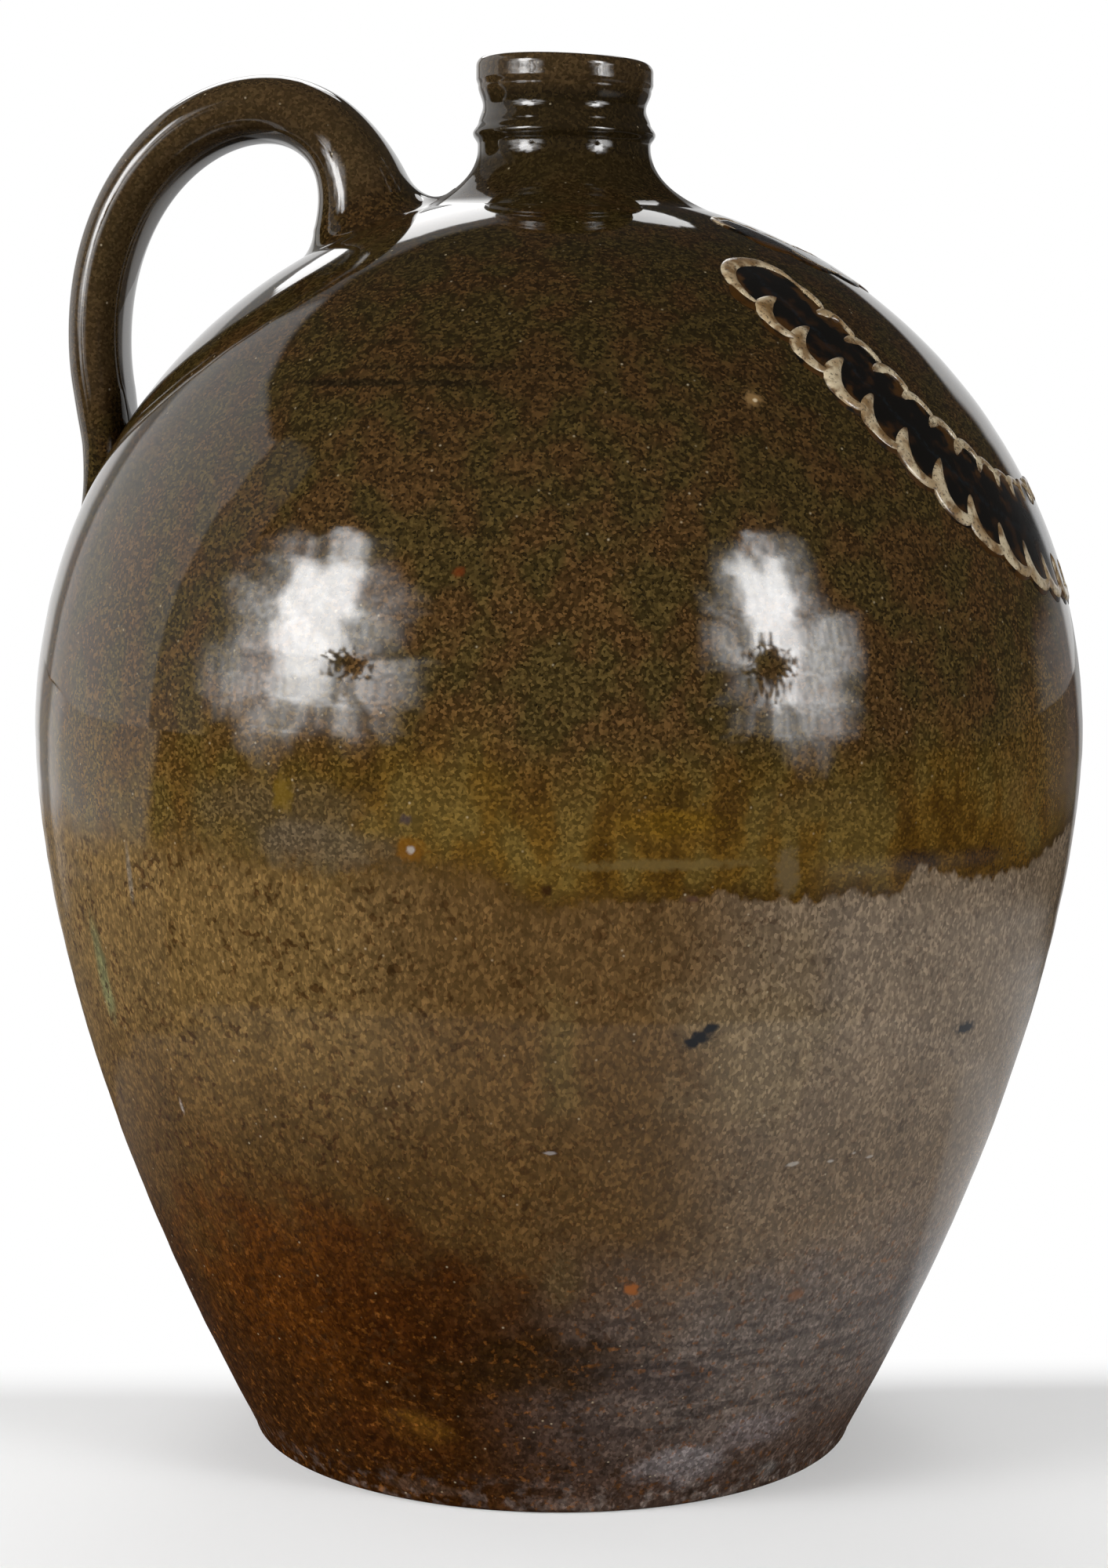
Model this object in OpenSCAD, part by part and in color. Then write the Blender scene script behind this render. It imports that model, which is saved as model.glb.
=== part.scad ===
// Ovoid stoneware jug with a ringed neck, a pulled strap handle and raised slip trailing.
// The jug stands on the XY plane with its axis on Z. The handle lies towards -X, the trailing towards +X.

/* [Body] */
// Diameter of the foot that the jug stands on
foot_d = 188; // [150:1:230]
// Diameter at the belly, the widest place
belly_d = 326; // [270:1:400]
// Height of the belly above the foot
belly_z = 222; // [180:1:270]
// Height of the shoulder's dome above the belly
shoulder_h = 168; // [140:1:205]
// Thickness of the thrown wall
wall = 8; // [6:0.1:12]
// Thickness of the floor
floor_t = 11; // [8:0.1:16]
// Rounding of the foot's outer edge
foot_round = 3; // [1:0.1:6]
// Rounding inside, between the floor and the wall
floor_round = 14; // [6:0.5:20]
// Depth of the lap where the shoulder sits in the lower wall
lap_h = 6; // [4:0.1:10]

/* [Neck] */
// Diameter of the neck's flared foot on the shoulder
neck_foot_d = 86; // [70:1:104]
// Diameter of the neck between its flare and the bead
neck_d = 53.6; // [48:0.1:66]
// Height of the neck above its seat
neck_h = 46; // [38:0.1:56]
// Height of the flare at the neck's foot
flare_h = 15; // [8:0.1:18]
// Diameter of the mouth
mouth_d = 32; // [24:0.1:36]
// Diameter of the opening in the shoulder that takes the neck
opening_d = 48; // [44:0.1:58]
// Depth of the neck's spigot in the opening
spigot_h = 10; // [6:0.1:14]
// Height of the bead's middle above the seat
bead_z = 22.6; // [20:0.1:26]
// Height of the bead
bead_h = 6.8; // [4:0.1:8]
// How far the bead stands out of the neck
bead_proud = 1.5; // [0.5:0.1:3]
// Height of the cove's middle above the seat
cove_z = 31; // [29:0.1:34]
// Height of the cove under the lip
cove_h = 12; // [6:0.1:14]
// Depth of the cove
cove_deep = 1.5; // [0.5:0.1:3]
// Height of the lip band
lip_h = 9; // [6:0.1:12]
// How far the lip band stands out of the neck
lip_proud = 0.6; // [0.2:0.1:2]
// Rounding of the lip's edges
lip_round = 3; // [1:0.1:4]

/* [Handle] */
// Gap between the neck's foot and the edge of the upper root
root_gap = 0.3; // [0.3:0.1:6]
// Thickness of the strap where it leaves the upper root
strap_t_root = 24; // [18:0.1:28]
// Thickness of the strap above its lower end
strap_t_foot = 17; // [12:0.1:21]
// Width of the strap near the upper root
strap_w_root = 40; // [30:0.1:48]
// Width of the strap near its lower end
strap_w_foot = 34; // [26:0.1:41]
// Growth of the upper root's thickness where it is pressed on
root_spread_t = 10; // [4:0.1:15]
// Growth of the upper root's width where it is pressed on
root_spread_w = 12; // [4:0.1:20]
// How far the strap rises out of the shoulder before it turns over
pull_up = 69; // [57:0.5:83]
// How far the strap runs straight down before it meets the wall
pull_down = 102; // [85:0.5:120]
// Lean of the strap at the upper root, in degrees
lean_up = 5; // [0:0.5:10]
// Lean of the strap at its lower end, in degrees
lean_down = 13; // [8:0.5:16]
// Height of the strap's middle above the wall at its lower end
foot_lift = 7; // [5:0.1:8.4]
// Length of the tail that is smeared down the wall
tail_len = 28; // [20:0.5:34]
// Thickness of the tail's end
tail_t = 2.5; // [1.5:0.1:4]
// Width of the tail's end
tail_w = 18; // [12:0.1:22]

/* [Slip trailing] */
// Thickness of the dark slip
fill_t = 0.8; // [0.5:0.1:1.5]
// Width of the cream line
line_w = 3.2; // [2.4:0.1:4]
// Thickness of the cream line
line_t = 1.4; // [0.8:0.1:2]
// Depth of the scallops along the cream line
scallop_deep = 2.5; // [1:0.1:3]
// Half the angle that the large swag spans, in degrees
lower_swag_span = 47; // [40:0.5:56]
// Width of the large swag in its middle
lower_swag_w_mid = 36; // [30:0.5:44]
// Width of the large swag near its ends
lower_swag_w_end = 27; // [22:0.5:33]
// Half the angle that the small swag spans, in degrees
upper_swag_span = 30; // [25:0.5:36]
// Width of the small swag in its middle
upper_swag_w_mid = 20; // [18:0.5:24]
// Width of the small swag near its ends
upper_swag_w_end = 17; // [15:0.5:20]
// Gap between the neck's foot and the ends of the small swag
upper_swag_gap = 4; // [2:0.5:8]

/* [Fits] */
// Gap of the lute, the thin clay that joins two pieces
lute = 0.2; // [0.15:0.01:0.25]

/* [Hidden] */

// Fineness of the turned outlines and of their arcs
wall_steps = 22;
dome_steps = 26;
neck_steps = 40;
arc_steps = 6;
turned_fn = 96;

// Body: the lower wall swells as a power of the distance below the belly, the shoulder is an ellipse
foot_r = foot_d / 2;
belly_r = belly_d / 2;
wall_swell = 1.7;
lap_r = belly_r - wall / 2;
inner_r = belly_r - wall;

// Neck
neck_foot_r = neck_foot_d / 2;
neck_r = neck_d / 2;
mouth_r = mouth_d / 2;
opening_r = opening_d / 2;
seat_z = belly_z + shoulder_h * sqrt(1 - pow(neck_foot_r / belly_r, 2));
ceiling_h = seat_z - wall - belly_z;
flare_power = 2;
lip_edge_share = 0.25;

// Handle: the upper root stands clear of the neck's foot
root_r = neck_foot_r + root_gap + (strap_t_root + root_spread_t) / 2;
strap_steps = 30;
tail_steps = 8;
strap_sides = 20;
strap_power = 0.8;
strap_taper = 1.5;
root_spread_share = 0.2;
root_cap_shares = [0.2, 0.4, 0.6, 0.8];
handle_foot_share = 0.548;
tail_taper = 1.5;
lift_taper = 2;
wrap_power = 6;

// Swags: where each hangs on the shoulder, how it droops, and how its ends round off
lower_swag_low_share = 0.381;
lower_swag_end_share = 0.857;
lower_swag_droop = 3.3;
lower_swag_scallops = 20;
upper_swag_low_share = 0.857;
upper_swag_end_r = neck_foot_r + upper_swag_gap + upper_swag_w_end / 2;
upper_swag_end_share = sqrt(1 - pow(upper_swag_end_r / belly_r, 2));
upper_swag_droop = 2.5;
upper_swag_scallops = 7;
swag_end_power = 24;
fill_end_share = 0.955;
fill_stop_share = 0.998;
even_share = 0.4;
line_top_share = 0.55;
slope_share = 0.002;
lower_edge_steps = 150;
upper_edge_steps = 70;
lower_fill_steps = 56;
upper_fill_steps = 30;
fill_rows = 4;

// One swag's measures, and the places that they have in its list
SPAN = 0;
LOW_SHARE = 1;
END_SHARE = 2;
DROOP = 3;
W_MID = 4;
W_END = 5;
SCALLOPS = 6;
lower_swag = [lower_swag_span, lower_swag_low_share, lower_swag_end_share, lower_swag_droop,
              lower_swag_w_mid, lower_swag_w_end, lower_swag_scallops];
upper_swag = [upper_swag_span, upper_swag_low_share, upper_swag_end_share, upper_swag_droop,
              upper_swag_w_mid, upper_swag_w_end, upper_swag_scallops];

// Radius of the lower wall at a height
function lower_r(z) = belly_r - (belly_r - foot_r) * pow(1 - z / belly_z, wall_swell);

// Radius of the shoulder at a height, and its height at a radius
function dome_r(z) = belly_r * sqrt(1 - pow((z - belly_z) / shoulder_h, 2));
function dome_z(r) = belly_z + shoulder_h * sqrt(1 - pow(r / belly_r, 2));

// Share of the way from the belly's middle to the shoulder, grown by a gap, that a point lies at
function dome_reach(p, grow) =
    norm([norm([p.x, p.y]) / (belly_r + grow), (p.z - belly_z) / (shoulder_h + grow)]);

// A point moved straight out or in to the shoulder grown by a gap
function onto_dome(p, grow) =
    let (reach = dome_reach(p, grow))
    [p.x / reach, p.y / reach, belly_z + (p.z - belly_z) / reach];

// A point moved out to the shoulder's lute gap where it would lie deeper
function clear_of_dome(p) = dome_reach(p, lute) < 1 ? onto_dome(p, lute) : p;

function unit(v) = v / norm(v);
function mix(a, b, share) = a + (b - a) * share;

// A smooth hump of height 1 between -1 and 1
function hump(u) = abs(u) < 1 ? (1 + cos(180 * u)) / 2 : 0;

// A sine or cosine drawn out towards the corners of a rounded strap
function squared(c) = sign(c) * pow(abs(c), strap_power);

// Points of an arc from one angle to another
function arc(centre, radius, from, to) =
    [for (i = [0 : arc_steps])
        let (a = mix(from, to, i / arc_steps))
        centre + radius * [cos(a), sin(a)]];

// Closed skin over a row of rings with equal counts, drawn together to a point at each end
module skin(start, rings, end) {
    sides = len(rings[0]);
    last = len(rings) - 1;
    function at(i, j) = 1 + i * sides + j % sides;
    points = concat([start], [for (ring = rings) each ring], [end]);
    start_faces = [for (j = [0 : sides - 1]) [0, at(0, j + 1), at(0, j)]];
    side_faces = [for (i = [0 : last - 1], j = [0 : sides - 1])
        each [[at(i, j), at(i, j + 1), at(i + 1, j)],
              [at(i, j + 1), at(i + 1, j + 1), at(i + 1, j)]]];
    end_faces = [for (j = [0 : sides - 1]) [len(points) - 1, at(last, j), at(last, j + 1)]];
    polyhedron(points, concat(start_faces, side_faces, end_faces));
}

// Closed skin over a row of rings that runs back into its beginning
module loop_skin(rings) {
    sides = len(rings[0]);
    count = len(rings);
    function at(i, j) = (i % count) * sides + j % sides;
    faces = [for (i = [0 : count - 1], j = [0 : sides - 1])
        each [[at(i, j), at(i, j + 1), at(i + 1, j)],
              [at(i, j + 1), at(i + 1, j + 1), at(i + 1, j)]]];
    polyhedron([for (ring = rings) each ring], faces);
}

// Lower section, with the floor and a rebated rim
module lower_body() {
    lap_z = belly_z - lap_h;
    foot_edge = lower_r(foot_round) - foot_round;
    floor_z = floor_t + floor_round;
    floor_edge = lower_r(floor_z) - wall - floor_round;
    outside = [for (i = [0 : wall_steps])
        let (z = mix(foot_round, belly_z, i / wall_steps)) [lower_r(z), z]];
    inside = [for (i = [0 : wall_steps])
        let (z = mix(lap_z, floor_z, i / wall_steps)) [lower_r(z) - wall, z]];
    color("darkkhaki")
    rotate_extrude($fn = turned_fn)
    polygon(concat(
        [[0, 0]],
        [for (p = arc([foot_edge, foot_round], foot_round, -90, 0)) if (p.x < lower_r(foot_round)) p],
        outside,
        [[lap_r, belly_z], [lap_r, lap_z]],
        inside,
        [for (p = arc([floor_edge, floor_z], floor_round, 0, -90)) if (p.y < floor_z) p],
        [[0, floor_t]]));
}

// Shoulder section, with a tongue in the lower rim, a flat seat for the neck and an opening
module upper_body() {
    seat_angle = acos(neck_foot_r / belly_r);
    opening_angle = acos(opening_r / inner_r);
    tongue_z = belly_z - lap_h + lute;
    outside = [for (i = [0 : dome_steps])
        let (a = seat_angle * i / dome_steps)
        [belly_r * cos(a), belly_z + shoulder_h * sin(a)]];
    inside = [for (i = [0 : dome_steps])
        let (a = opening_angle * (1 - i / dome_steps))
        [inner_r * cos(a), belly_z + ceiling_h * sin(a)]];
    color("darkolivegreen")
    rotate_extrude($fn = turned_fn)
    polygon(concat(
        outside,
        [[opening_r, seat_z]],
        inside,
        [[inner_r, tongue_z], [lap_r - lute, tongue_z], [lap_r - lute, belly_z]]));
}

// Radius of the neck at a height above its seat, up to the rounding of the lip
function neck_out(h) =
    let (flare = (neck_foot_r - neck_r) * pow(max(0, 1 - h / flare_h), flare_power),
         bead = bead_proud * hump(2 * (h - bead_z) / bead_h),
         cove = cove_deep * hump(2 * (h - cove_z) / cove_h),
         lip_rise = (h - (neck_h - lip_h)) / (lip_h * lip_edge_share),
         lip = lip_proud * (1 - hump(min(1, max(0, lip_rise)))))
    neck_r + flare + bead - cove + lip;

// Neck with its bead, cove and lip, and a spigot down into the shoulder
module neck() {
    spigot_r = opening_r - lute;
    lip_r = neck_out(neck_h - lip_round) - lip_round;
    outside = [for (i = [0 : neck_steps])
        let (h = (neck_h - lip_round) * i / neck_steps) [neck_out(h), h]];
    color("darkolivegreen")
    translate([0, 0, seat_z])
    rotate_extrude($fn = turned_fn)
    polygon(concat(
        outside,
        [for (p = arc([lip_r, neck_h - lip_round], lip_round, 0, 90)) if (p.y > neck_h - lip_round) p],
        arc([mouth_r + lip_round, neck_h - lip_round], lip_round, 90, 180),
        [[mouth_r, -spigot_h], [spigot_r, -spigot_h], [spigot_r, 0]]));
}

// Spine of the strap: distance from the axis and height, from the upper root at 0 to the wall at 1
function strap_at(t) =
    let (foot_z = belly_z + shoulder_h * handle_foot_share,
         root = [root_r, dome_z(root_r)],
         foot = [dome_r(foot_z) + foot_lift, foot_z],
         rise = root + pull_up * [sin(lean_up), cos(lean_up)],
         fall = foot + pull_down * [sin(lean_down), cos(lean_down)],
         s = 1 - t)
    s * s * s * root + 3 * s * s * t * rise + 3 * s * t * t * fall + t * t * t * foot;

// Spine of the tail below it, down the wall from 0 to 1
function tail_lift(t) = foot_lift * pow(1 - t, lift_taper);
function tail_at(t) =
    let (z = belly_z + shoulder_h * handle_foot_share - tail_len * t)
    [dome_r(z) + tail_lift(t), z];

// Growth of the strap where it is pressed on the shoulder
function root_growth(t) = pow(max(0, 1 - t / root_spread_share), 2);

// Stations along the handle, and the places of their measures: the spine's point, half the thickness,
// half the width, and how far the strap bends round the jug
SPINE = 0;
HALF_T = 1;
HALF_W = 2;
BEND_SHARE = 3;
function strap_station(t) =
    let (thick = mix(strap_t_foot, strap_t_root, pow(1 - t, strap_taper)) + root_spread_t * root_growth(t),
         wide = mix(strap_w_root, strap_w_foot, t) + root_spread_w * root_growth(t))
    [strap_at(t), thick / 2, wide / 2, pow(t, wrap_power)];
function tail_station(t) =
    let (proud = mix(tail_t, foot_lift + strap_t_foot / 2, pow(1 - t, tail_taper)))
    [tail_at(t), proud - tail_lift(t), mix(strap_w_foot, tail_w, t) / 2, 1];

// Pulled strap handle, seated on the shoulder at both ends
module handle() {
    stations = concat(
        [for (i = [0 : strap_steps]) strap_station(i / strap_steps)],
        [for (i = [1 : tail_steps]) tail_station(i / tail_steps)]);
    last = len(stations) - 1;
    function side_of(i) =
        let (d = unit(stations[min(i + 1, last)][SPINE] - stations[max(i - 1, 0)][SPINE])) [-d.y, d.x];
    function corner(i, j, share) =
        let (station = stations[i],
             a = 360 * j / strap_sides,
             p = station[SPINE] + side_of(i) * station[HALF_T] * squared(cos(a)) * share,
             y = station[HALF_W] * squared(sin(a)) * share,
             bend = station[BEND_SHARE] * (p.x - sqrt(p.x * p.x - y * y)))
        [bend - p.x, y, p.y];
    root_rings = [for (share = root_cap_shares)
        [for (j = [0 : strap_sides - 1]) onto_dome(corner(0, j, share), lute)]];
    foot_ring = [for (j = [0 : strap_sides - 1]) onto_dome(corner(0, j, 1), lute)];
    rings = [for (i = [1 : last]) [for (j = [0 : strap_sides - 1]) clear_of_dome(corner(i, j, 1))]];
    color("darkolivegreen")
    skin(onto_dome(corner(0, 0, 0), lute),
         concat(root_rings, [foot_ring], rings),
         onto_dome(corner(last, 0, 0), lute + tail_t / 2));
}

// Middle line of a swag on the shoulder, from -1 to 1
function swag_middle(swag, t) =
    let (share = mix(swag[LOW_SHARE], swag[END_SHARE], pow(abs(t), swag[DROOP])),
         z = belly_z + shoulder_h * share,
         a = swag[SPAN] * t)
    [dome_r(z) * cos(a), dome_r(z) * sin(a), z];

// Outward direction of the shoulder at a point on it
function dome_normal(p) =
    let (across = belly_r * belly_r, up = shoulder_h * shoulder_h)
    unit([p.x / across, p.y / across, (p.z - belly_z) / up]);

// A point beside the middle line of a swag, on the shoulder grown by a height
function swag_at(swag, t, aside, height) =
    let (p = swag_middle(swag, t),
         along = swag_middle(swag, t + slope_share) - swag_middle(swag, t - slope_share),
         across = unit(cross(along, dome_normal(p))))
    onto_dome(p + across * aside, height);

// Half the width of a swag, with its rounded ends
function swag_end(t) = sqrt(1 - pow(abs(t), swag_end_power));
function swag_half(swag, t) = mix(swag[W_MID], swag[W_END], abs(t)) / 2;

// Edge of a swag at an angle from 0 to 360 round its outline, scalloped inwards
function edge_at(swag, angle) =
    let (lower = angle < 180,
         turn = lower ? angle : 360 - angle,
         t = mix(-cos(turn), turn / 90 - 1, even_share),
         scallop = 1 - abs(sin(90 * swag[SCALLOPS] * (t + 1))),
         half = (swag_half(swag, t) - scallop_deep * scallop) * swag_end(t))
    swag_at(swag, t, lower ? half : -half, lute);

// Cream line trailed round a swag
module swag_line(swag, steps) {
    count = 2 * steps;
    path = [for (i = [0 : count - 1]) edge_at(swag, 360 * i / count)];
    rings = [for (i = [0 : count - 1])
        let (p = path[i],
             along = path[(i + 1) % count] - path[(i + count - 1) % count],
             across = unit(cross(along, dome_normal(p))) * line_w / 2,
             top = lute + line_t)
        [onto_dome(p - across, lute),
         onto_dome(p - across * line_top_share, top),
         onto_dome(p + across * line_top_share, top),
         onto_dome(p + across, lute)]];
    color("wheat")
    loop_skin(rings);
}

// Dark slip inside the cream line
module swag_fill(swag, steps) {
    inset = scallop_deep + line_w / 2 + lute;
    function row(t, height) =
        [for (i = [0 : fill_rows])
            let (half = (swag_half(swag, t * fill_end_share) - inset) * swag_end(t),
                 aside = half * (2 * i / fill_rows - 1))
            swag_at(swag, t * fill_end_share, aside, height)];
    function reversed(list) = [for (i = [len(list) - 1 : -1 : 0]) list[i]];
    spots = [for (i = [0 : steps]) fill_stop_share * (2 * i / steps - 1)];
    rings = [for (t = spots) concat(row(t, lute + fill_t), reversed(row(t, lute)))];
    middle = lute + fill_t / 2;
    color("#1c1512")
    skin(swag_at(swag, -fill_stop_share * fill_end_share, 0, middle), rings,
         swag_at(swag, fill_stop_share * fill_end_share, 0, middle));
}

module lower_swag_fill() { swag_fill(lower_swag, lower_fill_steps); }
module lower_swag_line() { swag_line(lower_swag, lower_edge_steps); }
module upper_swag_fill() { swag_fill(upper_swag, upper_fill_steps); }
module upper_swag_line() { swag_line(upper_swag, upper_edge_steps); }

lower_body();
upper_body();
neck();
handle();
lower_swag_fill();
lower_swag_line();
upper_swag_fill();
upper_swag_line();
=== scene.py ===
"""Stoneware jug with a ringed neck, a strap handle and raised slip trailing, dressed on its frame."""
from __future__ import annotations

import logging
import math
from dataclasses import dataclass, replace
from enum import Enum
from typing import Any, Sequence, Union

import bmesh
import bpy
from mathutils import Matrix, Vector

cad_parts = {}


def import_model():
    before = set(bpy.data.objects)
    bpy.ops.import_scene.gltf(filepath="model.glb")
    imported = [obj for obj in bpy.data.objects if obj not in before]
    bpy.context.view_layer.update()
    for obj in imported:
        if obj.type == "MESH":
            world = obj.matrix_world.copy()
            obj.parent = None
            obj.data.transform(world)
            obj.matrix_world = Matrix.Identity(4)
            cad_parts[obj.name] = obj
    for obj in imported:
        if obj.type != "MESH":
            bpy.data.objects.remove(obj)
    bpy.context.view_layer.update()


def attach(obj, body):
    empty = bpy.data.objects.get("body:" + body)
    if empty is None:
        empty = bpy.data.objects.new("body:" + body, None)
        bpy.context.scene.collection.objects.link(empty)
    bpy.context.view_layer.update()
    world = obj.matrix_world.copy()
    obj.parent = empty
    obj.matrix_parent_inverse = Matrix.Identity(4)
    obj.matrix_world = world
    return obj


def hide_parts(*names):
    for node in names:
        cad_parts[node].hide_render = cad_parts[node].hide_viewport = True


LOG = logging.getLogger("jug")
MM = 0.001
Number = Union["Wire", float]
Colour = tuple[float, float, float, float]
Triple = tuple[float, float, float]
Span = tuple[float, float]
Station = tuple[Vector, float, float, float]


def tone(code: str) -> Colour:
    """Linear colour of an sRGB hex code."""
    shares = (int(code[i:i + 2], 16) / 255 for i in (0, 2, 4))
    return (*(s / 12.92 if s <= 0.04045 else ((s + 0.055) / 1.055) ** 2.4 for s in shares), 1.0)


def mix(start: float, end: float, share: float) -> float:
    """Number that lies a share of the way from start to end."""
    return start + (end - start) * share


class Wire:
    """Output socket of a node; arithmetic on it adds Math nodes to its tree."""

    def __init__(self, book: NodeBook, socket: bpy.types.NodeSocket) -> None:
        """Keep the socket and the book that writes its tree."""
        self.book = book
        self.socket = socket

    def __add__(self, other: Number) -> Wire:
        """Sum."""
        return self.book.math("ADD", self, other)

    __radd__ = __add__

    def __sub__(self, other: Number) -> Wire:
        """Difference."""
        return self.book.math("SUBTRACT", self, other)

    def __rsub__(self, other: Number) -> Wire:
        """Difference from a number."""
        return self.book.math("SUBTRACT", other, self)

    def __mul__(self, other: Number) -> Wire:
        """Product."""
        return self.book.math("MULTIPLY", self, other)

    __rmul__ = __mul__

    def __truediv__(self, other: Number) -> Wire:
        """Quotient."""
        return self.book.math("DIVIDE", self, other)

    def __rtruediv__(self, other: Number) -> Wire:
        """Quotient of a number."""
        return self.book.math("DIVIDE", other, self)

    def __pow__(self, other: Number) -> Wire:
        """Power."""
        return self.book.math("POWER", self, other)

    def __abs__(self) -> Wire:
        """Size without its sign."""
        return self.book.math("ABSOLUTE", self)

    def rise(self, low: float, high: float) -> Wire:
        """Smooth step from 0 at low to 1 at high."""
        settings = {"interpolation_type": "SMOOTHSTEP"}
        return self.book.node("ShaderNodeMapRange", settings,
                              {"Value": self, "From Min": low, "From Max": high})["Result"]

    def fall(self, low: float, high: float) -> Wire:
        """Smooth step from 1 at low to 0 at high."""
        return 1.0 - self.rise(low, high)


class Outputs:
    """Outputs of one node, by name or by place."""

    def __init__(self, book: NodeBook, node: bpy.types.Node) -> None:
        """Keep the node and its book."""
        self.book = book
        self.node = node

    def __getitem__(self, key: str | int) -> Wire:
        """Wire from one of the outputs that are in use."""
        return Wire(self.book, NodeBook.pick(self.node.outputs, key))


class NodeBook:
    """Writes the nodes of one shader or geometry tree."""

    def __init__(self, tree: bpy.types.NodeTree) -> None:
        """Start an empty tree."""
        self.tree = tree
        tree.nodes.clear()

    @staticmethod
    def pick(sockets: Any, key: str | int) -> bpy.types.NodeSocket:
        """First socket in use with a name, or the one at a place among those in use."""
        used = [s for s in sockets if s.enabled]
        return used[key] if isinstance(key, int) else next(s for s in used if s.name == key)

    def node(self, kind: str, settings: dict[str, Any] | None = None,
             sockets: dict[str | int, Any] | None = None) -> Outputs:
        """Add a node.

        Args:
            kind: Blender's type of the node.
            settings: Properties that are set first.
            sockets: Values or wires for its inputs.

        Returns:
            The node's outputs.
        """
        node = self.tree.nodes.new(kind)
        for name, value in (settings or {}).items():
            setattr(node, name, value)
        for key, value in (sockets or {}).items():
            socket = self.pick(node.inputs, key)
            if isinstance(value, Wire):
                self.tree.links.new(value.socket, socket)
            else:
                socket.default_value = value
        return Outputs(self, node)

    def math(self, operation: str, *values: Number) -> Wire:
        """Add a Math node on wires and numbers."""
        return self.node("ShaderNodeMath", {"operation": operation}, dict(enumerate(values)))[0]

    def vector(self, operation: str, *values: Any) -> Wire:
        """Add a Vector Math node on wires and triples."""
        return self.node("ShaderNodeVectorMath", {"operation": operation}, dict(enumerate(values)))[0]

    def scaled(self, value: Wire, factor: Number) -> Wire:
        """Vector times a number."""
        return self.node("ShaderNodeVectorMath", {"operation": "SCALE"},
                         {"Vector": value, "Scale": factor})[0]

    def join(self, x: Number, y: Number, z: Number) -> Wire:
        """Vector from three numbers."""
        return self.node("ShaderNodeCombineXYZ", None, {"X": x, "Y": y, "Z": z})[0]

    def split(self, value: Wire) -> tuple[Wire, Wire, Wire]:
        """Three numbers of a vector."""
        parts = self.node("ShaderNodeSeparateXYZ", None, {0: value})
        return parts[0], parts[1], parts[2]

    def blend(self, share: Number, first: Wire | Colour, second: Wire | Colour) -> Wire:
        """First colour with a share of the second mixed in."""
        return self.node("ShaderNodeMix", {"data_type": "RGBA"},
                         {"Factor": share, "A": first, "B": second})["Result"]

    def bump(self, height: Wire) -> Wire:
        """Normal bumped by a height."""
        return self.node("ShaderNodeBump", None, {"Strength": 1.0, "Distance": 1.0, "Height": height})[0]


@dataclass(frozen=True)
class JugForm:
    """Outline that the jug's pieces share, as the CAD nodes have it, in metres."""

    foot_r: float = 94.0 * MM
    belly_r: float = 163.0 * MM
    belly_z: float = 222.0 * MM
    shoulder_h: float = 168.0 * MM
    swell: float = 1.7
    wall: float = 8.0 * MM
    neck_foot_r: float = 43.0 * MM
    neck_r: float = 26.8 * MM
    collar_r: float = 51.0 * MM
    collar_top: float = 402.5 * MM
    collar_tuck: float = 0.25 * MM

    @property
    def seat_z(self) -> float:
        """Height of the neck's seat on the shoulder."""
        return self.dome_z(self.neck_foot_r)

    def lower_r(self, z: float) -> float:
        """Radius of the lower wall at a height."""
        return self.belly_r - (self.belly_r - self.foot_r) * max(0.0, 1 - z / self.belly_z) ** self.swell

    def dome_r(self, z: float) -> float:
        """Radius of the shoulder at a height."""
        return self.belly_r * math.sqrt(1 - ((z - self.belly_z) / self.shoulder_h) ** 2)

    def dome_z(self, r: float) -> float:
        """Height of the shoulder at a radius."""
        return self.belly_z + self.shoulder_h * math.sqrt(1 - (r / self.belly_r) ** 2)

    def collar(self, t: float) -> Span:
        """Find a point of the neck's flared foot.

        Args:
            t: Place on it, from 0 on the shoulder to 1 on the neck.

        Returns:
            Distance from the axis and height.
        """
        foot_z = self.dome_z(self.collar_r) - self.collar_tuck
        slope = (self.shoulder_h / self.belly_r) ** 2 * self.collar_r / (foot_z - self.belly_z)
        knee_z = foot_z + slope * (self.collar_r - self.neck_r)
        left = 1 - t
        return (mix(self.neck_r, self.collar_r, left ** 2),
                left ** 2 * foot_z + 2 * t * left * knee_z + t ** 2 * self.collar_top)

    def collar_over(self, r: float) -> float:
        """Height of the flared foot over the shoulder at a distance from the axis."""
        share = max(0.0, (r - self.neck_r) / (self.collar_r - self.neck_r))
        return self.collar(1 - math.sqrt(share))[1] - self.dome_z(r) if r < self.collar_r else 0.0

    def reach(self, point: Vector, grow: float) -> float:
        """Share of the way from the belly's middle to the shoulder grown by a gap that a point lies at."""
        flat = math.hypot(point.x, point.y) / (self.belly_r + grow)
        return math.hypot(flat, (point.z - self.belly_z) / (self.shoulder_h + grow))

    def onto_dome(self, point: Vector, grow: float) -> Vector:
        """Point moved straight out or in to the shoulder grown by a gap."""
        middle = Vector((0, 0, self.belly_z))
        return middle + (point - middle) / self.reach(point, grow)

    def on_wall(self, degrees: float, z: float) -> Triple:
        """Point on the outside of the jug at an angle round its axis and a height."""
        r, angle = self.lower_r(z) if z < self.belly_z else self.dome_r(z), math.radians(degrees)
        return (r * math.cos(angle), r * math.sin(angle), z)


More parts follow.
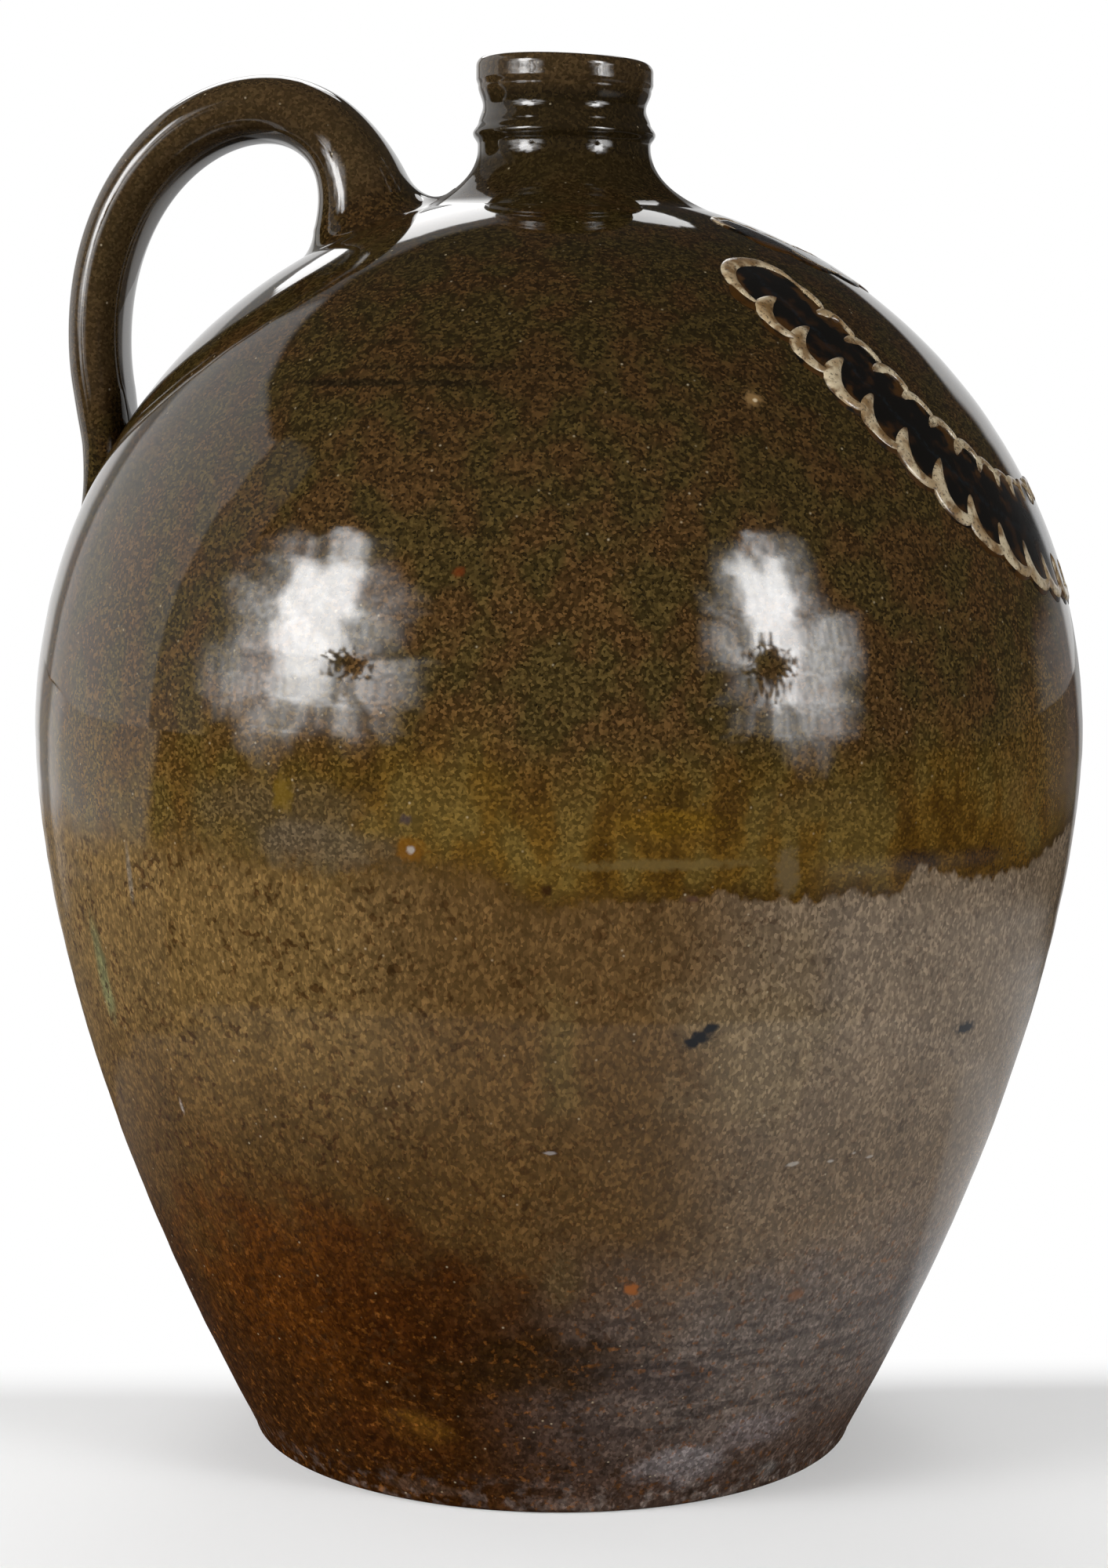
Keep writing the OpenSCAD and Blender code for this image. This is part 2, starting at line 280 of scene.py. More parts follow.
class Ground:
    """Object coordinates of a surface, with the patterns that are laid out on them."""

    EVEN: Triple = (1.0, 1.0, 1.0)
    UPRIGHT: Triple = (1.0, 1.0, 0.0)

    def __init__(self, book: NodeBook) -> None:
        """Read the coordinates into a shader tree."""
        self.book = book
        self.point = book.node("ShaderNodeTexCoord")["Object"]
        self.x, self.y, self.z = book.split(self.point)
        self.radius = book.math("SQRT", self.x * self.x + self.y * self.y)

    def stretched(self, stretch: Triple, shift: float) -> Wire:
        """Coordinates stretched along the axes and shifted to a new part of a pattern."""
        return self.book.node("ShaderNodeVectorMath", {"operation": "MULTIPLY_ADD"},
                              {0: self.point, 1: stretch, 2: (shift, shift, shift)})[0]

    def grain(self, size: float, detail: float = 2.0, stretch: Triple = EVEN, shift: float = 0.0) -> Wire:
        """Noise about 0.5, with blotches of a size, which lie long where the stretch is small."""
        return self.book.node("ShaderNodeTexNoise", {"noise_dimensions": "3D"}, {
            "Vector": self.stretched(stretch, shift), "Scale": 1 / size, "Detail": detail})[0]

    def voronoi(self, pitch: float, stretch: Triple, shift: float) -> Outputs:
        """Voronoi pattern of a pitch on stretched and shifted coordinates."""
        return self.book.node("ShaderNodeTexVoronoi", {"feature": "F1"},
                              {"Vector": self.stretched(stretch, shift), "Scale": 1 / pitch})

    def cells(self, pitch: float, stretch: Triple = EVEN, shift: float = 0.0) -> Wire:
        """Grains of a pitch that each have a number of their own from 0 to 1."""
        return self.book.split(self.voronoi(pitch, stretch, shift)["Color"])[0]

    def spots(self, pitch: float, share: float, shift: float = 0.0) -> Wire:
        """Round spots strewn at a pitch, falling from 1 to 0 within a share of it."""
        return self.voronoi(pitch, self.EVEN, shift)["Distance"].fall(0.0, share)

    def facing(self, degrees: float) -> Wire:
        """Cosine of the angle round the axis between a point and a direction."""
        angle = math.radians(degrees)
        return (self.x * math.cos(angle) + self.y * math.sin(angle)) / self.radius

    def sector(self, degrees: float, inner: float, outer: float) -> Wire:
        """Share round the axis: 1 within an angle of a direction, falling to 0 at a wider one."""
        return self.facing(degrees).rise(math.cos(math.radians(outer)), math.cos(math.radians(inner)))

    def patch(self, place: Triple, wide: float, tall: float, broken: Number, soft: float) -> Wire:
        """Add a patch.

        Args:
            place: Its middle.
            wide: Half its width.
            tall: Half its height.
            broken: Number added to the distance, which breaks its outline.
            soft: Share of its reach where it starts to fade.

        Returns:
            1 inside, falling to 0 at the outline.
        """
        gap = self.book.vector("MULTIPLY", self.book.vector("SUBTRACT", self.point, place),
                               (1 / wide, 1 / wide, 1 / tall))
        away = self.book.node("ShaderNodeVectorMath", {"operation": "LENGTH"}, {0: gap})["Value"]
        return (away + broken).fall(soft, 1.0)


@dataclass(frozen=True)
class Mark:
    """Patch of another colour on the glaze: mostly a mark that the kiln or a knock left, a few of them
    painted sheen.

    Its angle round the axis is in degrees. Its height and half its width and height are in millimetres.
    """

    azimuth: float
    height: float
    wide: float
    tall: float
    colour: str
    share: float = 1.0
    soft: float = 0.35


KILN_MARKS_AND_SHEEN = (
    # The grey patches at -107 and -124 degrees by the dip's edge are partly the glaze's own grey, partly
    # painted sheen.
    Mark(-107, 203, 27, 7, "5d5140", 0.75), Mark(-124, 212, 20, 10, "62523a", 0.6),
    Mark(-143.5, 157, 5.5, 34, "6b6a47", 0.9), Mark(-133.2, 189, 1.6, 26, "6f685e", 0.6),
    Mark(-132, 121.6, 1.3, 7, "857f78", 0.7), Mark(-104.7, 201.7, 3.5, 4, "463b33", 0.6),
    Mark(-83.5, 150, 9, 36, "6a5a34", 0.4), Mark(-62, 152, 32, 34, "7d6b4e", 0.5),
    Mark(-118, 70, 66, 46, "452407", 0.85), Mark(-100, 66, 46, 36, "2f1605", 0.7),
    Mark(-83, 80, 7, 24, "54432a", 0.7), Mark(-86, 52, 40, 16, "2a1a08", 0.8),
    # The pale grey patch at -52 degrees low on the right is partly the glaze's own grey, partly painted
    # sheen.
    Mark(-52, 52, 50, 40, "62574f", 0.7), Mark(-66, 46, 26, 10, "40342f", 0.6),
    Mark(-105, 27, 13, 9, "694717", 0.6), Mark(-112, 22, 30, 10, "3a1d08", 0.7),
    Mark(-62, 15, 17, 10, "948e8e", 0.8), Mark(-49, 24, 18, 9, "7f7675", 0.6),
    Mark(-42.6, 7, 5, 4, "8b8985", 0.8), Mark(-82, 4, 18, 3, "7a6a60", 0.8),
    Mark(-106, 6, 22, 3, "77604f", 0.5), Mark(95, 92, 60, 30, "5a3319", 0.7),
    Mark(35, 60, 55, 34, "5b4d45", 0.6), Mark(150, 50, 50, 22, "362219", 0.7),
    Mark(70, 14, 24, 9, "77706e", 0.6), Mark(170, 205, 22, 7, "5d5140", 0.6),
    Mark(20, 150, 8, 34, "6a5a34", 0.4),
)
DIP_MARKS = (
    # The reddish-brown patch at -14 degrees and the grey patches at -112 and -107 degrees are partly the
    # glaze's own colour, partly painted sheen.
    Mark(-14, 234, 14, 34, "5f4535", 0.6), Mark(-112, 214, 36, 14, "51422a", 0.7),
    Mark(-107, 206, 27, 8, "5d5140", 0.6), Mark(-46, 200, 13, 5, "33200b", 0.8),
    Mark(-36, 199, 12, 4, "3a240d", 0.7), Mark(-72, 214, 20, 5, "6b4f14", 0.5),
    Mark(168, 214, 34, 13, "51422a", 0.6), Mark(60, 202, 16, 5, "33200b", 0.7),
    Mark(-24, 224, 34, 34, "664d29", 0.5), Mark(-110, 329.5, 46, 1.5, "1d160a", 0.85),
    Mark(-96, 334, 40, 1.2, "1d160a", 0.7), Mark(-104, 341, 34, 1.1, "1d160a", 0.6),
)
CHIPS = (
    Mark(-61.5, 199, 5.0, 10, "6d5c40", 0.7), Mark(-74, 202.5, 34, 2.2, "6b5831", 0.75),
    Mark(-70.1, 152.2, 3.6, 2.6, "14161a"), Mark(-69.2, 154.0, 3.2, 2.6, "14161a"),
    Mark(-68.2, 156.0, 3.4, 2.4, "14161a"), Mark(-33.2, 147, 7.0, 2.4, "14161a"),
    Mark(118, 172, 3.4, 2.2, "14161a"), Mark(-74.4, 77.6, 2.8, 2.6, "8f5426", 0.9),
    Mark(-50.7, 70.4, 3.2, 3.4, "6e4a30", 0.8), Mark(-98.1, 205.7, 5.5, 4.4, "71480f", 0.7),
    Mark(-98.1, 205.7, 1.8, 1.5, "a59e96", 0.8), Mark(-98.6, 213.9, 2.2, 2.0, "3f3438", 0.7),
    Mark(-111.3, 218.6, 4.5, 6.5, "705713", 0.6), Mark(-85.1, 195.6, 2.0, 2.2, "2e1a0a", 0.9),
    Mark(-71, 193, 2.6, 1.2, "4a3328", 0.8), Mark(-59.9, 325.8, 3.4, 3.0, "8f7047", 0.7),
    Mark(-59.6, 325.6, 1.0, 1.0, "c9b796", 0.9), Mark(-100.2, 316.1, 2.4, 0.8, "17120c", 0.8),
    Mark(-94.2, 279.4, 2.2, 2.0, "5e2c10", 0.8), Mark(-56.3, 113.5, 2.6, 0.9, "b3aca2", 0.6),
    Mark(-50.9, 112.8, 1.6, 0.7, "b3aca2", 0.6), Mark(-47.6, 114.2, 1.2, 0.6, "b3aca2", 0.5),
    Mark(-44.9, 112.1, 2.0, 0.6, "b3aca2", 0.5), Mark(-84.5, 120.4, 2.4, 0.8, "938d89", 0.8),
    Mark(60, 128, 3.0, 2.0, "8f5426", 0.7),
)


@dataclass(frozen=True)
class StonewareGlaze:
    """Alkaline glaze over brown stoneware, darker where it was dipped twice, bare and scuffed at the foot.

    A size is the length of a pattern's blotches, a cut the values of a noise between which it sets in,
    a span the heights between which it changes, and a way a direction with the angles where it fades.
    """

    form: JugForm
    name: str = "stoneware_glaze"
    olive: str = "3b2f16"
    russet: str = "412e17"
    neck_dark: str = "281f10"
    worn: str = "42331f"
    # Tone of the handle, lighter and greyer than the shoulder: partly its own browner glaze, partly painted
    # light from above and painted sheen.
    strap: str = "40321f"
    ochre: str = "604618"
    ochre_deep: str = "462f0b"
    ochre_pale: str = "645024"
    tan_left: str = "6b5430"
    tan_mid: str = "5b4323"
    # Tan of the lower wall's right side, paler and greyer: partly the glaze's own tan, partly painted sheen
    # of the pale table.
    tan_and_sheen_right: str = "7a6955"
    freckle: str = "38220f"
    brown: str = "4b3518"
    umber: str = "311a06"
    # Grey of the low right wall: partly ash, partly painted sheen.
    ash_and_sheen_grey: str = "5b5049"
    foot: str = "2f1805"
    scuff: str = "756a63"
    rust: str = "6b4119"
    # Pale dots strewn over the glaze: partly pale specks, partly painted glints.
    speck_and_glint: str = "b9a98c"
    groove: str = "2b2320"
    grain_size: float = 0.8 * MM
    fleck_size: float = 2.2 * MM
    dot_size: float = 2.4 * MM
    cloud_size: float = 13.0 * MM
    wander_size: float = 38.0 * MM
    tide_z: float = 196.0 * MM
    tide_tilt: float = 6.0 * MM
    tide_high: float = -140.0
    tide_drip: float = 13.0 * MM
    tide_fray: float = 9.0 * MM
    tide_soft: float = 8.0 * MM
    tide_sharp: float = 1.0 * MM
    sharp_way: Triple = (-40.0, 30.0, 52.0)
    lobe_drop: float = 6.5 * MM
    lobes: tuple[tuple[float, Triple], ...] = (
        (1.0, (-74.0, 13.0, 17.0)), (1.0, (-53.0, 4.5, 6.5)), (1.0, (140.0, 14.0, 22.0)),
        (-1.4, (-3.0, 4.0, 22.0)))
    russet_cut: Span = (0.40, 0.62)
    band_low: float = 10.0 * MM
    band_high: float = 52.0 * MM
    band_way: Triple = (-45.0, 35.0, 80.0)
    band_share: float = 0.45
    pale_cut: Span = (0.44, 0.6)
    deep_cut: Span = (0.34, 0.46)
    deep_share: float = 0.8
    bead_share: float = 0.4
    drip_cut: Span = (0.4, 0.55)
    drip_share: float = 0.6
    dip_light: float = 1.29
    dip_fade: float = 0.66
    strap_reach: Span = (1.03, 1.2)
    strap_tone_and_sheen_share: float = 0.75
    neck_share: float = 0.92
    lip_span: Span = (416.0 * MM, 421.0 * MM)
    lip_share: float = 0.8
    speck_share: float = 0.85
    speck_off_band: float = 0.35
    speck_off_strap: float = 0.4
    speck_off_neck: float = 0.35
    speck_low_share: float = 0.46
    speck_power: float = 2.0
    speck_mean: float = 0.67
    cluster_share: float = 0.45
    wander: float = 1.4
    tan_way: Triple = (-30.0, 18.0, 80.0)
    mid_way: Triple = (-84.0, 6.0, 24.0)
    mid_share: float = 0.9
    brown_span: Span = (100.0 * MM, 165.0 * MM)
    brown_off_right: float = 0.6
    low_span: Span = (48.0 * MM, 104.0 * MM)
    ash_way: Triple = (-30.0, 25.0, 70.0)
    foot_h: float = 16.0 * MM
    foot_span: Span = (4.0 * MM, 40.0 * MM)
    foot_share: float = 0.6
    scuff_cut: Span = (0.48, 0.64)
    scuff_share: float = 0.25
    scuff_on_ash: float = 0.45
    rust_cut: Span = (0.60, 0.68)
    rust_span: Span = (60.0 * MM, 120.0 * MM)
    rust_share: float = 0.55
    crowd_cut: Span = (0.32, 0.62)
    crowd_off_right: float = 0.5
    freckle_cut: Span = (0.56, 0.64)
    freckle_share: float = 0.75
    mottle_size: float = 3.36 * MM
    mottle_share: float = 1.2
    mottle_off_right: float = 0.6
    streak_share: float = 0.6
    mark_break: float = 1.3
    speck_and_glint_reach: float = 0.09
    speck_and_glint_share: float = 0.7
    bare_cut: Span = (0.42, 0.6)
    rough: float = 0.42
    rough_off_dip: float = 0.12
    rough_spread: float = 0.12
    rough_on_bare: float = 0.2
    gloss_dip: float = 0.95
    gloss_low: float = 0.02
    gloss_rise: float = 0.26
    gloss_span: Span = (60.0 * MM, 190.0 * MM)
    gloss_right: float = 0.42
    gloss_way: Triple = (-20.0, 32.0, 66.0)
    gloss_foot_span: Span = (10.0 * MM, 60.0 * MM)
    gloss_off_bare: float = 0.8
    gloss_off_collar: float = 0.75
    collar_under: float = 4.0 * MM
    collar_span: Span = (13.0 * MM, 18.0 * MM)
    collar_soft: float = 3.0 * MM
    swell: float = 0.30 * MM
    swell_size: float = 15.0 * MM
    peel: float = 0.09 * MM
    peel_size: float = 3.6 * MM
    tooth: float = 0.017 * MM
    tooth_size: float = 0.8 * MM
    ring: float = 0.06 * MM
    ring_size: float = 4.5 * MM
    ring_share: float = 1.1
    pit: float = 0.14 * MM
    pit_pitch: float = 12.0 * MM
    pit_reach: float = 0.05
    groove_size: float = 3.4 * MM
    groove_deep: float = 0.5 * MM
    groove_cut: Span = (0.38, 0.52)
    groove_share: float = 0.55
    trim_low_span: Span = (18.0 * MM, 32.0 * MM)
    trim_high_span: Span = (48.0 * MM, 84.0 * MM)
    trim_way: Triple = (-48.0, 22.0, 44.0)

    def material(self) -> bpy.types.Material:
        """Write the finish.

        Returns:
            The material for every glazed piece.
        """
        material = bpy.data.materials.new(self.name)
        material.use_nodes = True
        book = NodeBook(material.node_tree)
        ground = Ground(book)
        upper, above = self.tide(ground)
        colour = book.blend(upper, self.lower_tone(ground), self.upper_tone(ground, above))
        colour = self.marked(ground, colour, CHIPS, self.fleck_size)
        rim = ground.z.fall(self.foot_h / 4, self.foot_h)
        bare = rim * ground.grain(self.fleck_size * 2).rise(*self.bare_cut)
        # Pale dots, partly pale specks in the glaze and partly painted glints.
        specks_and_glints = ground.spots(self.pit_pitch / 2, self.speck_and_glint_reach, shift=2.0)
        colour = book.blend(specks_and_glints * self.speck_and_glint_share, colour, tone(self.speck_and_glint))
        rough = (self.rough - self.rough_off_dip * upper + self.rough_on_bare * bare
                 + self.rough_spread * (ground.grain(self.fleck_size) - 0.5))
        gloss = self.gloss(ground, upper) * (1.0 - self.gloss_off_bare * bare)
        shader = book.node("ShaderNodeBsdfPrincipled", None, {
            "Base Color": colour, "Roughness": rough, "IOR": 1.5, "Specular IOR Level": 0.0,
            "Coat Weight": gloss, "Coat Roughness": 0.045, "Coat IOR": 1.5,
            "Normal": self.relief(ground, upper)})["BSDF"]
        book.node("ShaderNodeOutputMaterial", None, {"Surface": shader})
        return material

    def tide(self, ground: Ground) -> tuple[Wire, Wire]:
        """Lay out the edge of the second dip.

        Args:
            ground: The surface's coordinates.

        Returns:
            Share of the second dip, and the height above its edge.
        """
        drip = ground.grain(self.cloud_size * 2, 1.0, Ground.UPRIGHT, shift=3.1) - 0.5
        fray = ground.grain(self.fleck_size * 2, 3.0, (1.0, 1.0, 0.5), shift=7.7) - 0.5
        lobes = sum(share * ground.sector(*way) for share, way in self.lobes)
        edge = (self.tide_z + self.tide_tilt * ground.facing(self.tide_high) + self.tide_drip * drip
                + self.tide_fray * fray - self.lobe_drop * lobes)
        above = ground.z - edge
        soft_share = above.rise(-self.tide_soft, self.tide_soft)
        sharp_share = above.rise(-self.tide_sharp, self.tide_sharp)
        return soft_share + (sharp_share - soft_share) * ground.sector(*self.sharp_way), above

    def speckle(self, ground: Ground, spread: Number, stretch: Triple, shift: float) -> Wire:
        """Factor about 1 that varies from grain to grain.

        Args:
            ground: The surface's coordinates.
            spread: How far it goes from 1.
            stretch: Factors on the coordinates.
            shift: Shift to another part of the pattern.

        Returns:
            The factor.
        """
        single = ground.cells(self.grain_size, stretch, shift) ** self.speck_power
        cluster = ground.grain(self.fleck_size, 2.0, stretch, shift) - 0.5
        return 1.0 + spread * (2.0 * single - self.speck_mean + self.cluster_share * cluster)

    def upper_tone(self, ground: Ground, above: Wire) -> Wire:
        """Colour of the twice-dipped glaze.

        Args:
            ground: The surface's coordinates.
            above: Height above the edge of the second dip.

        Returns:
            The colour.
        """
        book, form = ground.book, self.form
        cloud = ground.grain(self.cloud_size, 3.0, (1.0, 1.0, 0.8), shift=1.3)
        colour = book.blend(cloud.rise(*self.russet_cut), tone(self.olive), tone(self.russet))
        high = ground.z.rise(form.belly_z, form.seat_z)
        colour = book.scaled(colour, self.dip_light - self.dip_fade * high)
        right = ground.sector(*self.band_way)
        strong = self.band_share + (1.0 - self.band_share) * right
        band = above.fall(self.band_low, self.band_high) * strong
        colour = book.blend(band, colour, self.band_tone(ground, above, right))
        wide, tall = ground.radius / form.belly_r, (ground.z - form.belly_z) / form.shoulder_h
        off_neck = ground.radius.rise(form.neck_foot_r, form.neck_foot_r + self.cloud_size)
        strap = (wide * wide + tall * tall).rise(*self.strap_reach) * off_neck
        # The handle takes a lighter, greyer tone, partly its own glaze and partly painted light and sheen.
        colour = book.blend(strap * self.strap_tone_and_sheen_share, colour, tone(self.strap))
        colour = self.marked(ground, colour, DIP_MARKS, self.cloud_size)
        neck = ground.z.rise(form.seat_z - self.cloud_size, form.seat_z + self.cloud_size) * (1.0 - off_neck)
        colour = book.blend(neck * self.neck_share, colour, tone(self.neck_dark))
        lip = neck * ground.z.rise(*self.lip_span)
        colour = book.blend(lip * self.lip_share, colour, tone(self.worn))
        spread = (self.speck_share - self.speck_off_band * band - self.speck_off_strap * strap
                  - self.speck_off_neck * neck)
        return book.scaled(colour, self.speckle(ground, spread, Ground.EVEN, 0.0))

    def band_tone(self, ground: Ground, above: Wire, right: Wire) -> Wire:
        """Colour of the ochre band above the edge of the second dip.

        Args:
            ground: The surface's coordinates.
            above: Height above that edge.
            right: Share of the side where the band is strong.

        Returns:
            The colour.
        """
        book = ground.book
        streak = ground.grain(self.cloud_size, 2.0, (1.0, 1.0, 0.6), shift=5.0)
        colour = book.blend(streak.rise(*self.pale_cut), tone(self.ochre), tone(self.ochre_pale))
        colour = book.blend(streak.fall(*self.deep_cut) * self.deep_share, colour, tone(self.ochre_deep))
        bead = above.fall(0.0, self.band_low) * right
        colour = book.blend(bead * self.bead_share, colour, tone(self.ochre_deep))
        drips = above.fall(0.0, self.band_low / 2) * streak.rise(*self.drip_cut) * right
        return book.blend(drips * self.drip_share, colour, tone(self.umber))

    def lower_tone(self, ground: Ground) -> Wire:
        """Colour of the once-dipped lower wall.

        Args:
            ground: The surface's coordinates.

        Returns:
            The colour.
        """
        book = ground.book
        wander = ground.grain(self.wander_size, 3.0, shift=9.0) - 0.5
        height = ground.z + self.wander * self.wander_size * wander
        right, ashen = ground.sector(*self.tan_way), ground.sector(*self.ash_way)
        # To the right the tan turns paler and greyer, partly the glaze's own tan and partly painted sheen.
        colour = book.blend(right, tone(self.tan_left), tone(self.tan_and_sheen_right))
        colour = book.blend(ground.sector(*self.mid_way) * self.mid_share, colour, tone(self.tan_mid))
        browned = height.fall(*self.brown_span) * (1.0 - self.brown_off_right * right)
        colour = book.blend(browned, colour, tone(self.brown))
        low = height.fall(*self.low_span)
        # Low down the wall runs to umber, and on the right to a grey that is partly ash and partly painted
        # sheen.
        colour = book.blend(low, colour, book.blend(ashen, tone(self.umber), tone(self.ash_and_sheen_grey)))
        colour = self.marked(ground, colour, KILN_MARKS_AND_SHEEN, self.cloud_size)
        # Darker in the hollows of the trimming grooves.
        grooves = self.grooves(ground).fall(*self.groove_cut) * self.trimmed(ground)
        colour = book.blend(grooves * self.groove_share, colour, tone(self.groove))
        colour = book.blend(ground.z.fall(*self.foot_span) * self.foot_share, colour, tone(self.foot))
        scuffs = ground.grain(self.fleck_size * 2, 3.0).rise(*self.scuff_cut)
        rim = ground.z.fall(self.foot_h / 4, self.foot_h) * scuffs
        colour = book.blend(rim * (self.scuff_share + self.scuff_on_ash * ashen), colour, tone(self.scuff))
        rust = ground.grain(self.dot_size, 2.0, shift=17.0).rise(*self.rust_cut)
        rust = rust * height.fall(*self.rust_span) * self.rust_share
        colour = book.blend(rust, colour, tone(self.rust))
        crowd = ground.grain(self.cloud_size, 1.0, shift=13.0).rise(*self.crowd_cut)
        flecks = ground.grain(self.dot_size, 1.0, shift=6.0).rise(*self.freckle_cut)
        flecks = flecks * crowd * (1.0 - self.crowd_off_right * right)
        colour = book.blend(flecks * self.freckle_share, colour, tone(self.freckle))
        mottle = ground.grain(self.mottle_size, 4.0, shift=21.0) - 0.5
        streak = ground.grain(self.cloud_size, 2.0, (1.0, 1.0, 0.1), shift=31.0) - 0.5
        mottle = (self.mottle_share + low - self.mottle_off_right * right) * mottle
        colour = book.scaled(colour, 1.0 + mottle + self.streak_share * streak)
        return book.scaled(colour, self.speckle(ground, self.speck_low_share, (1.0, 1.0, 0.6), 4.0))

    def marked(self, ground: Ground, colour: Wire, marks: Sequence[Mark], size: float) -> Wire:
        """Lay marks over a colour.

        Args:
            ground: The surface's coordinates.
            colour: The colour under them.
            marks: The marks.
            size: Length of the waves that break their outlines.

        Returns:
            The marked colour.
        """
        broken = self.mark_break * (ground.grain(size, 3.0, shift=11.0) - 0.5)
        for mark in marks:
            place = self.form.on_wall(mark.azimuth, mark.height * MM)
            patch = ground.patch(place, mark.wide * MM, mark.tall * MM, broken, mark.soft)
            colour = ground.book.blend(patch * mark.share, colour, tone(mark.colour))
        return colour

    def grooves(self, ground: Ground) -> Wire:
        """Noise in long flat streaks, as a trimming tool leaves them."""
        return ground.grain(self.groove_size, 2.0, (0.13, 0.13, 1.0), shift=3.0)

    def trimmed(self, ground: Ground) -> Wire:
        """Share of the lower wall that was trimmed and left rough."""
        height = ground.z.fall(*self.trim_high_span) * ground.z.rise(*self.trim_low_span)
        return height * ground.sector(*self.trim_way)

    def gloss(self, ground: Ground, upper: Wire) -> Wire:
        """Share of clear gloss, which dies away towards the foot and on the neck's flared foot.

        Args:
            ground: The surface's coordinates.
            upper: Share of the second dip.

        Returns:
            The share.
        """
        right = ground.sector(*self.gloss_way) * ground.z.rise(*self.gloss_foot_span)
        lower = self.gloss_low + self.gloss_rise * ground.z.rise(*self.gloss_span) + self.gloss_right * right
        seat, foot = self.form.seat_z, self.form.neck_foot_r
        start, end = self.collar_span
        collar = (ground.z.rise(seat - self.collar_under, seat) * ground.z.fall(seat + start, seat + end)
                  * ground.radius.fall(foot - self.collar_soft, foot + self.collar_soft))
        return lower + (self.gloss_dip - self.gloss_off_collar * collar - lower) * upper

    def relief(self, ground: Ground, upper: Wire) -> Wire:
        """Height of the glaze's skin, as a bumped normal.

        Args:
            ground: The surface's coordinates.
            upper: Share of the second dip.

        Returns:
            The normal.
        """
        swell = ground.grain(self.swell_size, 1.0, shift=8.0)
        peel = ground.grain(self.peel_size, 2.0, shift=1.0)
        tooth = ground.grain(self.tooth_size, 1.0, shift=2.5)
        rings = ground.grain(self.ring_size, 3.0, (0.06, 0.06, 1.0), shift=3.0) * (self.ring_share - upper)
        pits = ground.spots(self.pit_pitch, self.pit_reach, shift=5.0)
        grooves = self.grooves(ground) * self.trimmed(ground)
        height = (self.swell * swell + self.peel * peel + self.tooth * tooth + self.ring * rings
                  + self.groove_deep * grooves - self.pit * pits)
        return ground.book.bump(height)


@dataclass(frozen=True)
class IronSlip:
    """Dark iron slip, thinning to brown and amber at its edges, with a faint blue bloom along its middle."""

    name: str = "iron_slip"
    black: str = "0d0a07"
    brown: str = "2b1a0b"
    amber: str = "4d3110"
    bloom: str = "1b2329"
    cloud_size: float = 6.0 * MM
    grain_size: float = 1.2 * MM
    swell: float = 0.03 * MM
    tooth: float = 0.012 * MM
    brown_cut: Span = (0.5, 0.66)
    brown_share: float = 0.8
    edge_break: float = 1.2
    edge_cut: Span = (0.5, 0.75)
    amber_cut: Span = (0.42, 0.56)
    amber_share: float = 0.6
    bloom_reach: Span = (0.02, 0.10)
    bloom_cut: Span = (0.4, 0.6)
    bloom_share: float = 0.4
    rough: float = 0.3
    rough_spread: float = 0.2
    gloss: float = 0.85
    gloss_off: float = 0.7
    gloss_reach: Span = (0.62, 0.86)

    def material(self) -> bpy.types.Material:
        """Write the finish.

        Returns:
            The material of the dark fills.
        """
        material = bpy.data.materials.new(self.name)
        material.use_nodes = True
        book = NodeBook(material.node_tree)
        ground = Ground(book)
        across = abs(book.node("ShaderNodeAttribute", {"attribute_name": "across"})["Fac"])
        cloud = ground.grain(self.cloud_size, 3.0, shift=1.0)
        fine = ground.grain(self.grain_size)
        brown = cloud.rise(*self.brown_cut) * self.brown_share
        colour = book.blend(brown, tone(self.black), tone(self.brown))
        rim = (across + self.edge_break * (cloud - 0.5)).rise(*self.edge_cut) * cloud.rise(*self.amber_cut)
        colour = book.blend(rim * self.amber_share, colour, tone(self.amber))
        bloom = across.fall(*self.bloom_reach) * fine.rise(*self.bloom_cut)
        colour = book.blend(bloom * self.bloom_share, colour, tone(self.bloom))
        bump = book.bump(self.swell * cloud + self.tooth * fine)
        gloss = self.gloss - self.gloss_off * across.rise(*self.gloss_reach)
        shader = book.node("ShaderNodeBsdfPrincipled", None, {
            "Base Color": colour, "Roughness": self.rough + self.rough_spread * cloud,
            "Specular IOR Level": 0.1, "Coat Weight": gloss, "Coat Roughness": 0.05, "Normal": bump})["BSDF"]
        book.node("ShaderNodeOutputMaterial", None, {"Surface": shader})
        return material


